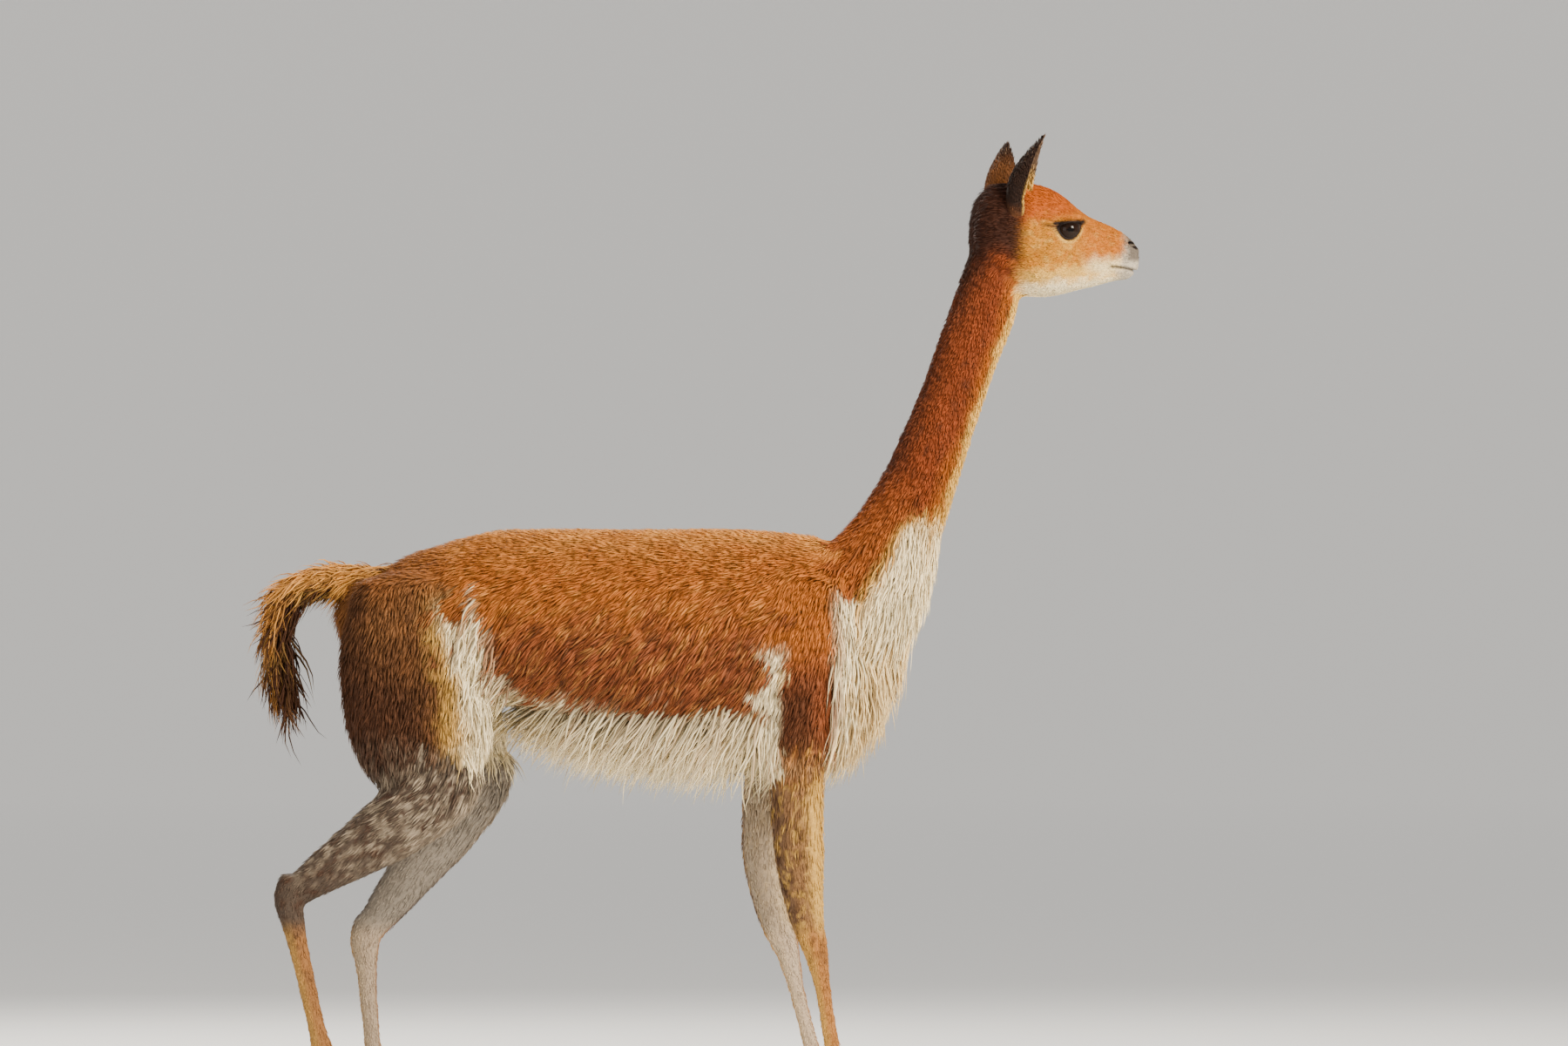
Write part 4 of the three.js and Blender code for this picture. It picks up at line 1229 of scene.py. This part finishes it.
class Graph:
    """A node tree with short ways to add a node and to join it up."""

    def __init__(self, tree):
        self.tree = tree

    def add(self, kind, inputs=(), out=0, **settings):
        node = self.tree.nodes.new(kind)
        for key, value in settings.items():
            setattr(node, key, value)
        for key, value in dict(inputs).items():
            socket = node.inputs[key]
            if isinstance(value, bpy.types.NodeSocket):
                self.tree.links.new(value, socket)
            else:
                socket.default_value = value
        return node.outputs[out]

    def math(self, operation, *values):
        return self.add("ShaderNodeMath", dict(enumerate(values)), operation=operation)

    def vector(self, operation, *values):
        return self.add("ShaderNodeVectorMath", dict(enumerate(values)), operation=operation)

    def scaled(self, vector, amount):
        return self.add("ShaderNodeVectorMath", {0: vector, 3: amount}, operation="SCALE")

    def read(self, name, kind="FLOAT"):
        return self.add("GeometryNodeInputNamedAttribute", {"Name": name}, data_type=kind)

    def keep(self, geometry, name, value, kind="FLOAT", domain="POINT"):
        inputs = {"Geometry": geometry, "Name": name, "Value": value}
        return self.add("GeometryNodeStoreNamedAttribute", inputs, data_type=kind, domain=domain)

    def chance(self, low, high, seed):
        return self.add("FunctionNodeRandomValue", {2: low, 3: high, 8: seed}, 1, data_type="FLOAT")

    def grain(self, where, scale, detail, out=0):
        """Fine random values, from a node that gives the place."""
        inputs = {"Vector": self.add(where, out=out), "Scale": scale, "Detail": detail}
        return self.add("ShaderNodeTexNoise", inputs, "Fac")

    def paint(self, name, out):
        return self.add("ShaderNodeAttribute", out=out, attribute_name=name)


COAT_INPUTS = (
    ("Skin", "NodeSocketGeometry", None),
    ("Tuft", "NodeSocketObject", None),
    ("Material", "NodeSocketMaterial", None),
    ("Seed", "NodeSocketInt", SEED),
    ("Lift", "NodeSocketFloat", 0.3),
    ("Stray", "NodeSocketFloat", 0.2),
    ("Droop", "NodeSocketFloat", 0.2),
    ("Curl", "NodeSocketFloat", 0.05),
    ("Waves", "NodeSocketFloat", 1.5),
    ("Thinness", "NodeSocketFloat", 0.35),
)


def coat_tree():
    """Grows tufts over a skin, each along the combing stored at its root."""
    tree = bpy.data.node_groups.new("Grow coat", "GeometryNodeTree")
    tree.interface.new_socket(name="Coat", in_out="OUTPUT", socket_type="NodeSocketGeometry")
    for name, kind, value in COAT_INPUTS:
        socket = tree.interface.new_socket(name=name, in_out="INPUT", socket_type=kind)
        if value is not None:
            socket.default_value = value
    g = Graph(tree)
    source = tree.nodes.new("NodeGroupInput").outputs
    spread = tree.nodes.new("GeometryNodeDistributePointsOnFaces")
    tree.links.new(source["Skin"], spread.inputs["Mesh"])
    tree.links.new(g.read("grow_density"), spread.inputs["Density"])
    tree.links.new(source["Seed"], spread.inputs["Seed"])
    up = spread.outputs["Normal"]
    inputs = {0: (-1, -1, -1), 1: (1, 1, 1), 8: 11}
    stray = g.add("FunctionNodeRandomValue", inputs, data_type="FLOAT_VECTOR")
    grain = g.grain("GeometryNodeInputPosition", 70, 1)
    clump = g.add("ShaderNodeMapRange", {0: grain, 1: 0.36, 2: 0.64})
    rise = g.math("MULTIPLY", g.math("MULTIPLY_ADD", clump, 0.9, 0.5), g.chance(0.6, 1.3, 12))
    lift = g.math("MULTIPLY", source["Lift"], rise)
    way = g.vector("ADD", g.read("grow_lie", "FLOAT_VECTOR"), g.scaled(up, lift))
    way = g.vector("NORMALIZE", g.vector("ADD", way, g.scaled(stray, source["Stray"])))
    points = g.keep(spread.outputs["Points"], "grow_up", up, "FLOAT_VECTOR")
    points = g.keep(points, "grow_way", way, "FLOAT_VECTOR")
    long = g.math("MULTIPLY", g.read("grow_length"), g.chance(0.68, 1.25, 13))
    points = g.keep(points, "grow_long", long)
    points = g.keep(points, "grow_lift", lift)
    points = g.keep(points, "grow_phase", g.chance(0, 1, 14))
    tone = g.math("ADD", g.math("MULTIPLY", clump, 0.55), g.math("MULTIPLY", g.chance(0, 1, 15), 0.45))
    points = g.keep(points, "shade", tone)
    wide = g.math("MULTIPLY", g.read("grow_width"), g.chance(0.7, 1.3, 16))
    up, way = g.read("grow_up", "FLOAT_VECTOR"), g.read("grow_way", "FLOAT_VECTOR")
    long = g.read("grow_long")
    turn = g.add("FunctionNodeAxesToRotation", {0: way, 1: up}, primary_axis="X", secondary_axis="Z")
    thin = g.math("MULTIPLY", wide, source["Thinness"])
    size = g.add("ShaderNodeCombineXYZ", {0: long, 1: wide, 2: thin})
    shape = g.add("GeometryNodeObjectInfo", {"Object": source["Tuft"]}, "Geometry")
    inputs = {"Points": points, "Instance": shape, "Rotation": turn, "Scale": size}
    coat = g.add("GeometryNodeRealizeInstances", {0: g.add("GeometryNodeInstanceOnPoints", inputs)})
    along = g.read("along")
    bent = g.math("POWER", along, 1.7)
    settle = g.math("MULTIPLY", g.read("grow_lift"), -0.55)
    settle = g.math("MULTIPLY", settle, g.math("MULTIPLY", bent, long))
    fall = g.math("MULTIPLY", g.math("MULTIPLY", source["Droop"], bent), long)
    swing = g.math("ADD", g.math("MULTIPLY", along, source["Waves"]), g.read("grow_phase"))
    swing = g.math("MULTIPLY", swing, 6.283)
    sway = g.math("MULTIPLY", g.math("SINE", swing), g.math("MULTIPLY", along, source["Curl"]))
    side = g.scaled(g.vector("CROSS_PRODUCT", up, way), g.math("MULTIPLY", sway, long))
    move = g.vector("ADD", g.scaled(up, settle), g.vector("ADD", g.scaled((0.0, 0.0, -1.0), fall), side))
    coat = g.add("GeometryNodeSetPosition", {"Geometry": coat, "Offset": move})
    patch = g.add("ShaderNodeCombineXYZ", {0: g.math("SUBTRACT", along, 0.5), 1: g.read("across")})
    patch = g.vector("ADD", g.read("OFBake", "FLOAT_VECTOR"), g.scaled(patch, 0.003))
    coat = g.keep(coat, "OFBake", patch, "FLOAT2", "CORNER")
    inputs = {"Geometry": coat, "Name": "grow_*"}
    coat = g.add("GeometryNodeRemoveAttribute", inputs, pattern_mode="WILDCARD")
    coat = g.add("GeometryNodeRealizeInstances", {0: coat})
    coat = g.add("GeometryNodeSetMaterial", {"Geometry": coat, "Material": source["Material"]})
    sink = tree.nodes.new("NodeGroupOutput")
    tree.links.new(coat, sink.inputs[0])
    return tree


# Materials
def new_material(name):
    material = bpy.data.materials.new(name)
    material.use_nodes = True
    material.node_tree.nodes.clear()
    return material, Graph(material.node_tree)


def finish_material(material, g, colour, roughness, **more):
    inputs = {"Base Color": colour, "Roughness": roughness}
    inputs.update({key.replace("_", " "): value for key, value in more.items()})
    shader = g.add("ShaderNodeBsdfPrincipled", inputs)
    output = g.tree.nodes.new("ShaderNodeOutputMaterial")
    g.tree.links.new(shader, output.inputs["Surface"])
    return material


def fur_material(name, root, rise):
    """Tufts in the markings' colour, darker at the root as painted shade between the tufts, and each a
    little lighter or darker.
    """
    material, g = new_material(name)
    light = g.math("MULTIPLY_ADD", g.paint("shade", "Fac"), 0.60, 0.70)
    # painted shade: each tuft darkens towards its root, where the tufts shade one another
    depth = g.math("MULTIPLY_ADD", g.paint("along", "Fac"), rise, root)
    colour = g.scaled(g.paint("tint", "Color"), g.math("MULTIPLY", light, depth))
    return finish_material(material, g, colour, 0.62, Specular_IOR_Level=0.12)


def skin_material():
    material, g = new_material("vicuna_skin")
    grain = g.grain("ShaderNodeTexCoord", 420, 4, "Object")
    colour = g.scaled(g.paint("tint", "Color"), g.math("MULTIPLY_ADD", grain, 0.7, 0.42))
    relief = g.add("ShaderNodeBump", {"Height": grain, "Strength": 0.5, "Distance": 0.0012}, "Normal")
    return finish_material(material, g, colour, 0.75, Specular_IOR_Level=0.15, Normal=relief)


def eye_material():
    material, g = new_material("vicuna_eye")
    return finish_material(material, g, g.paint("tint", "Color"), 0.07, Specular_IOR_Level=0.12)


def horn_material():
    material, g = new_material("vicuna_nail")
    grain = g.grain("ShaderNodeTexCoord", 160, 3, "Object")
    inputs = {0: grain, 6: (0.05, 0.035, 0.028, 1), 7: (0.14, 0.105, 0.08, 1)}
    return finish_material(material, g, g.add("ShaderNodeMix", inputs, 2, data_type="RGBA"), 0.45)


def lash_material():
    material, g = new_material("vicuna_lash")
    return finish_material(material, g, (0.012, 0.008, 0.007, 1), 0.5)


def floor_material():
    material, g = new_material("studio_floor")
    glow = {"Emission_Color": (1.0, 0.98, 0.95, 1), "Emission_Strength": 0.30}
    return finish_material(material, g, (0.80, 0.79, 0.77, 1), 0.9, **glow)


# Pieces
def finish_piece(obj, slot, *nodes):
    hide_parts(*nodes)
    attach(obj, "root")
    obj.data.shade_smooth()


def unwrap(obj):
    """Lays out the map that the skin's colours are baked on."""
    obj.data.uv_layers.new(name="OFBake")
    bpy.context.view_layer.objects.active = obj
    for other in bpy.context.selected_objects:
        other.select_set(False)
    obj.select_set(True)
    bpy.ops.object.mode_set(mode="EDIT")
    bpy.ops.mesh.select_all(action="SELECT")
    bpy.ops.uv.smart_project(angle_limit=math.radians(80), island_margin=0.001)
    bpy.ops.object.mode_set(mode="OBJECT")


def build_skin(settings):
    mesh = make_skin(settings)
    mesh.name = "skin"
    obj = new_object("skin", mesh)
    mesh.materials.append(skin_material())
    unwrap(obj)
    finish_piece(obj, "coat_tawny", *FLESH_NODES)


def coat_cover(p, n, region, keep, base):
    """How thickly each coat piece grows at each place."""
    x, z = p[:, 0], p[:, 2]
    is_in = {name: region == code for name, code in REGION.items()}
    trunk = is_in["back"] | is_in["rump"]
    body = trunk | is_in["arm"] | is_in["neck"]
    breast = body * smooth(308, 345, x) * smooth(866, 826, z) * smooth(470, 520, z) * (n[:, 0] > -0.4)
    belly = trunk * smooth(612, 588, z) * smooth(-215, -170, x) * smooth(320, 285, x)
    fold = trunk * smooth(-228, -208, x) * smooth(-128, -165, x)
    fold = fold * smooth(600, 630, z) * smooth(790, 750, z)
    thigh = is_in["thigh"] * smooth(0.35, 0.75, n[:, 0]) * smooth(505, 540, z) * smooth(780, 730, z)
    elbow = is_in["arm"] * smooth(-0.3, -0.7, n[:, 0]) * smooth(530, 560, z) * smooth(750, 720, z)
    whiteness = smooth(0.10, 0.42, base[:, 2] / base[:, 0])
    fringe = np.maximum(np.maximum(fold, thigh), elbow) * whiteness
    breast = breast * (0.2 + 0.8 * whiteness)
    cover = {"coat_" + name: is_in[name] for name in ("neck", "rump", "tail")}
    cover |= {"coat_" + name + "s": is_in[name] for name in ("thigh", "arm", "leg")}
    cover["coat_head"] = is_in["head"] * keep
    cover["coat_back"] = is_in["back"] * (1 - 0.6 * breast)
    return cover | {"coat_breast": breast, "coat_belly": belly, "coat_fringe": fringe}


def lock_lengths(p, region, settings):
    """How long the locks of each coat piece of locks are at each place."""
    x, z = p[:, 0], p[:, 2]
    return {
        "coat_breast": settings.breast_hair * (0.45 + 0.55 * smooth(790, 600, z)),
        "coat_belly": np.full(len(p), settings.belly_hair),
        "coat_fringe": settings.flank_hair * np.where(region == REGION["thigh"], 0.78, 1),
        "coat_tail": settings.tail_hair * (0.72 + 0.28 * smooth(-400, -455, x)),
    }


def build_coat(skin, settings):
    """Grows every coat piece over the skin."""
    noise.seed_set(settings.seed)
    mesh = skin.data
    q = places(mesh) / MM - design_shift()
    layers = mesh.attributes
    length, width, keep, region = (
        read(layers["grow_" + name].data, "value", 1)[:, 0]
        for name in ("length", "width", "keep", "region")
    )
    region = np.round(region).astype(int)
    tint = read(layers["tint"].data, "color", 4)
    base = tint[:, :3].copy()
    speckle = smooth(-0.25, 0.2, wander(q, 7, 6)[:, 0])
    area = vertex_areas(mesh)
    cover = coat_cover(q, normals(mesh), region, keep, base)
    locks = lock_lengths(q, region, settings)
    tree = coat_tree()
    furs = {
        # root and rise set each tuft's painted shade, darkest at its root and deeper on the locks
        "short": fur_material("vicuna_fur", 0.76, 0.40),
        "lock": fur_material("vicuna_locks", 0.50, 0.68),
    }
    templates = {kind: tuft_template(kind) for kind in TUFTS}
    sockets = {s.name: s.identifier for s in tree.interface.items_tree if s.item_type == "SOCKET"}
    for index, (name, kind, number, slot, look) in enumerate(COAT):
        long, wide = length * settings.coat_length, width
        if kind == "lock":
            long, wide = locks[name], (TAIL_LOCK_WIDTH if name == "coat_tail" else LOCK_WIDTH) * MM
        share = cover[name] / (long * wide) ** 0.6
        density = settings.fullness * number * share / max((share * area).sum(), 1e-9)
        ground = mesh.copy()
        fill(ground.attributes["grow_length"], long)
        fill(ground.attributes["grow_width"], np.broadcast_to(wide, len(q)))
        store(ground, "grow_density", "FLOAT", density)
        if name == "coat_belly":
            tint[:, :3] = over(base, np.array(settings.white), 0.45 + 0.5 * speckle)
            fill(ground.attributes["tint"], tint)
        obj = new_object(name, ground)
        modifier = obj.modifiers.new("Grow coat", "NODES")
        modifier.node_group = tree
        values = {"Tuft": templates[kind], "Material": furs[kind], "Seed": settings.seed + index}
        values.update(zip(("Lift", "Stray", "Droop", "Curl", "Waves", "Thinness"), look))
        for key, value in values.items():
            modifier[sockets[key]] = value
        bpy.context.view_layer.update()
        grown = obj.evaluated_get(bpy.context.evaluated_depsgraph_get())
        coat = bpy.data.meshes.new_from_object(grown)
        obj.modifiers.clear()
        obj.data = coat
        coat.name = name
        bpy.data.meshes.remove(ground)
        finish_piece(obj, slot)
    for template in templates.values():
        bpy.data.objects.remove(template)


def build_eyes():
    bm = bmesh.new()
    layer = bm.verts.layers.float_color.new("tint")
    for s in (-1, 1):
        made = bmesh.ops.create_uvsphere(bm, u_segments=48, v_segments=32, radius=EYE_R * MM)["verts"]
        centre = (head_turn(EYE * (1, s, 1)) + design_shift()) * MM
        spin = Matrix.Rotation(HEAD_TURN, 4, "Z") @ Matrix.Rotation(math.radians(90) * -s, 4, "X")
        for v in made:
            axis = v.co / (EYE_R * MM)
            wide, tall = axis.x / PUPIL_HALF, axis.y / PUPIL_HEIGHT
            ring = math.hypot(axis.x, axis.y) / IRIS_R
            if ring < 1 and axis.z > 0:
                v[layer] = (*(EYE_PUPIL if wide * wide + tall * tall < 1 else EYE_IRIS), 1)
                v.co *= 1 + 0.035 * (1 - ring**2)
            else:
                v[layer] = (*EYE_RIM, 1)
            v.co = Vector(centre) + spin @ v.co
    mesh = bpy.data.meshes.new("eyes")
    bmesh.ops.recalc_face_normals(bm, faces=bm.faces)
    bm.to_mesh(mesh)
    bm.free()
    mesh.materials.append(eye_material())
    obj = new_object("eyes", mesh)
    finish_piece(obj, "eye", "eye_left", "eye_right")


def build_lashes(settings):
    """Dark lashes along each upper lid, longest in the middle."""
    rng = np.random.default_rng(settings.seed)
    points, faces = [], []
    for s in (-1, 1):
        for i in range(settings.lashes):
            u = -0.92 + 1.84 * i / (settings.lashes - 1)
            dx, dz = LID_HALF * u, lid_line(u) + 0.4
            out = math.sqrt(max((EYE_R + 1.6) ** 2 - dx * dx - dz * dz, 9))
            root = EYE * (1, s, 1) + np.array((dx, s * out, dz))
            long = (9 + 5 * (1 - u * u)) * rng.uniform(0.85, 1.15)
            way = unit(np.array((0.35 + 0.35 * u, s * 0.95, 0.05)) + rng.normal(0, 0.06, 3))
            start = len(points)
            for k in range(4):
                f = k / 3
                at = root + way * long * f + np.array((0, 0, 0.16 * long * f * f - 0.12 * long * f))
                r = 0.42 * (1 - f) + 0.02
                for a in (0.5, 2.6, 4.7):
                    points.append(at + r * np.array((math.cos(a), 0.0, math.sin(a))))
            faces.append((start, start + 1, start + 2))
            for k in range(3):
                for j in range(3):
                    a, b = start + 3 * k + j, start + 3 * k + (j + 1) % 3
                    faces.append((a, b, b + 3, a + 3))
            faces.append((start + 11, start + 10, start + 9))
    mesh = new_mesh("lashes", (head_turn(np.array(points)) + design_shift()) * MM, faces)
    mesh.materials.append(lash_material())
    obj = new_object("lashes", mesh)
    finish_piece(obj, "ear_hair")


def build_nails():
    flesh = Flesh()
    for name, leg in LEGS.items():
        foot = leg["foot"]
        b = math.radians(foot[4])
        back, raised = (12, 9) if foot[4] < 45 else (0, 1)
        for toe in (-1, 1):
            tip = toe_path(foot, toe)[4]
            path = []
            for along, up, fore, wide in NAIL:
                along, up = along - back, up + raised
                x = tip[0] + math.sin(b) * along + math.cos(b) * up
                z = tip[2] - math.cos(b) * along + math.sin(b) * up
                path.append((x, tip[1], z, fore, wide))
            flesh.loft("nail", on_side(name, path), 0, caps=(3, 1))
    mesh = new_mesh("nails", (np.vstack(flesh.points) + design_shift()) * MM, flesh.faces)
    mesh.materials.append(horn_material())
    obj = new_object("nails", mesh)
    finish_piece(obj, "nail", *NAIL_NODES)


# Studio
def area_light(name, place_at, size, power, colour):
    data = bpy.data.lights.new(name, "AREA")
    data.energy = power
    data.size = size
    data.color = colour
    obj = new_object(name, data)
    obj.location = place_at
    obj.rotation_euler = (Vector(LIGHT_AIM) - Vector(place_at)).to_track_quat("-Z", "Y").to_euler()
    return obj


def studio_floor():
    """A wide round floor whose edge curves up."""
    bm = bmesh.new()
    profile = [(2, 0), (8, 0), (20, 0), (FLOOR_FLAT, 0)]
    for i in range(1, 13):
        a = math.pi / 2 * i / 12
        profile.append((FLOOR_FLAT + FLOOR_CURVE * math.sin(a), FLOOR_CURVE - FLOOR_CURVE * math.cos(a)))
    profile.append((FLOOR_FLAT + FLOOR_CURVE, FLOOR_RIM))
    rows = []
    for i in range(FLOOR_SIDES):
        a = 2 * math.pi * i / FLOOR_SIDES
        rows.append([bm.verts.new((r * math.cos(a), r * math.sin(a), z - 0.0005)) for r, z in profile])
    for i, row in enumerate(rows):
        following = rows[(i + 1) % FLOOR_SIDES]
        for j in range(len(profile) - 1):
            bm.faces.new((row[j], row[j + 1], following[j + 1], following[j]))
    bm.faces.new([row[0] for row in rows])
    mesh = bpy.data.meshes.new("studio_floor")
    bm.to_mesh(mesh)
    bm.free()
    mesh.shade_smooth()
    mesh.materials.append(floor_material())
    return new_object("studio_floor", mesh)


def build_studio(settings):
    floor = studio_floor()
    lights = [
        area_light(name, place_at, size, settings.key_watts * share, colour)
        for name, place_at, size, share, colour in LIGHTS
    ]
    world = bpy.data.worlds.new("studio_world")
    world.use_nodes = True
    background = world.node_tree.nodes["Background"]
    background.inputs["Color"].default_value = (1.0, 0.98, 0.95, 1)
    background.inputs["Strength"].default_value = settings.sky
    bpy.context.scene.world = world
    data = bpy.data.cameras.new("camera")
    data.lens = LENS
    data.sensor_width = 36
    data.clip_end = 200
    camera = new_object("camera", data)
    camera.location = (CAMERA_X, -CAMERA_AWAY, CAMERA_Z)
    camera.rotation_euler = (math.pi / 2, 0, 0)
    bpy.context.scene.camera = camera


# Add-on
def number(name, description, default, **more):
    return bpy.props.FloatProperty(name=name, description=description, default=default, **more)


class VicunaSettings(bpy.types.PropertyGroup):
    """What the vicuna is built from."""

    grain: number("Skin grain", "Size of a face of the skin", 0.0060, unit="LENGTH", precision=4)
    seed: bpy.props.IntProperty(name="Seed", description="Seed of every random draw", default=SEED, min=1)
    fullness: number("Fullness", "Share of the full count of tufts", 1.0, subtype="FACTOR", min=0, max=1)
    coat_length: number("Coat length", "Length of the short coat", 1.0, subtype="FACTOR", min=0)
    breast_hair: number("Breast hair", "Longest hair of the breast", 0.080, unit="LENGTH")
    belly_hair: number("Belly hair", "Length of the belly fringe", 0.082, unit="LENGTH")
    flank_hair: number("Flank hair", "Length of the white hair at flank and elbow", 0.044, unit="LENGTH")
    tail_hair: number("Tail hair", "Longest hair of the tail", 0.078, unit="LENGTH")
    lashes: bpy.props.IntProperty(name="Lashes", description="Lashes on each upper lid", default=30)
    key_watts: number("Key light", "Power of the key light", 760, unit="POWER")
    sky: number("Sky", "Strength of the light all round", 0.32, min=0)


for _name, _label, _value in PALETTE:
    _about = f"Colour of {_label.lower()}"
    VicunaSettings.__annotations__[_name] = bpy.props.FloatVectorProperty(
        name=_label, description=_about, subtype="COLOR", default=_value, min=0, max=1
    )


class VICUNA_OT_skin(bpy.types.Operator):
    """Build the skin"""

    bl_idname = "vicuna.skin"
    bl_label = "Build skin"
    bl_options = {"REGISTER", "UNDO"}

    def execute(self, context):
        build_skin(context.scene.vicuna)
        return {"FINISHED"}


class VICUNA_OT_coat(bpy.types.Operator):
    """Grow the coat over the skin"""

    bl_idname = "vicuna.coat"
    bl_label = "Grow coat"
    bl_options = {"REGISTER", "UNDO"}

    def execute(self, context):
        build_coat(bpy.data.objects["skin"], context.scene.vicuna)
        return {"FINISHED"}


class VICUNA_OT_eyes(bpy.types.Operator):
    """Build the eyes and lashes"""

    bl_idname = "vicuna.eyes"
    bl_label = "Build eyes"
    bl_options = {"REGISTER", "UNDO"}

    def execute(self, context):
        build_eyes()
        build_lashes(context.scene.vicuna)
        return {"FINISHED"}


class VICUNA_OT_nails(bpy.types.Operator):
    """Build the nails"""

    bl_idname = "vicuna.nails"
    bl_label = "Build nails"
    bl_options = {"REGISTER", "UNDO"}

    def execute(self, context):
        build_nails()
        return {"FINISHED"}


class VICUNA_OT_studio(bpy.types.Operator):
    """Set the floor, lights and camera"""

    bl_idname = "vicuna.studio"
    bl_label = "Set studio"
    bl_options = {"REGISTER", "UNDO"}

    def execute(self, context):
        build_studio(context.scene.vicuna)
        return {"FINISHED"}


class VICUNA_PT_panel(bpy.types.Panel):
    """Buttons for each step"""

    bl_idname = "VICUNA_PT_panel"
    bl_label = "Vicuna"
    bl_space_type = "VIEW_3D"
    bl_region_type = "UI"
    bl_category = "Vicuna"

    def draw(self, context):
        for name in VicunaSettings.__annotations__:
            self.layout.prop(context.scene.vicuna, name)
        for step in STEPS:
            self.layout.operator(step)


STEPS = ("vicuna.skin", "vicuna.coat", "vicuna.eyes", "vicuna.nails", "vicuna.studio")
CLASSES = (
    VicunaSettings,
    VICUNA_OT_skin,
    VICUNA_OT_coat,
    VICUNA_OT_eyes,
    VICUNA_OT_nails,
    VICUNA_OT_studio,
    VICUNA_PT_panel,
)


def register():
    for cls in CLASSES:
        bpy.utils.register_class(cls)
    bpy.types.Scene.vicuna = bpy.props.PointerProperty(type=VicunaSettings)


def unregister():
    del bpy.types.Scene.vicuna
    for cls in reversed(CLASSES):
        bpy.utils.unregister_class(cls)


def main():
    register()
    bpy.ops.vicuna.skin()
    bpy.ops.vicuna.coat()
    bpy.ops.vicuna.eyes()
    bpy.ops.vicuna.nails()
    bpy.ops.vicuna.studio()


if __name__ == "__main__":
    main()
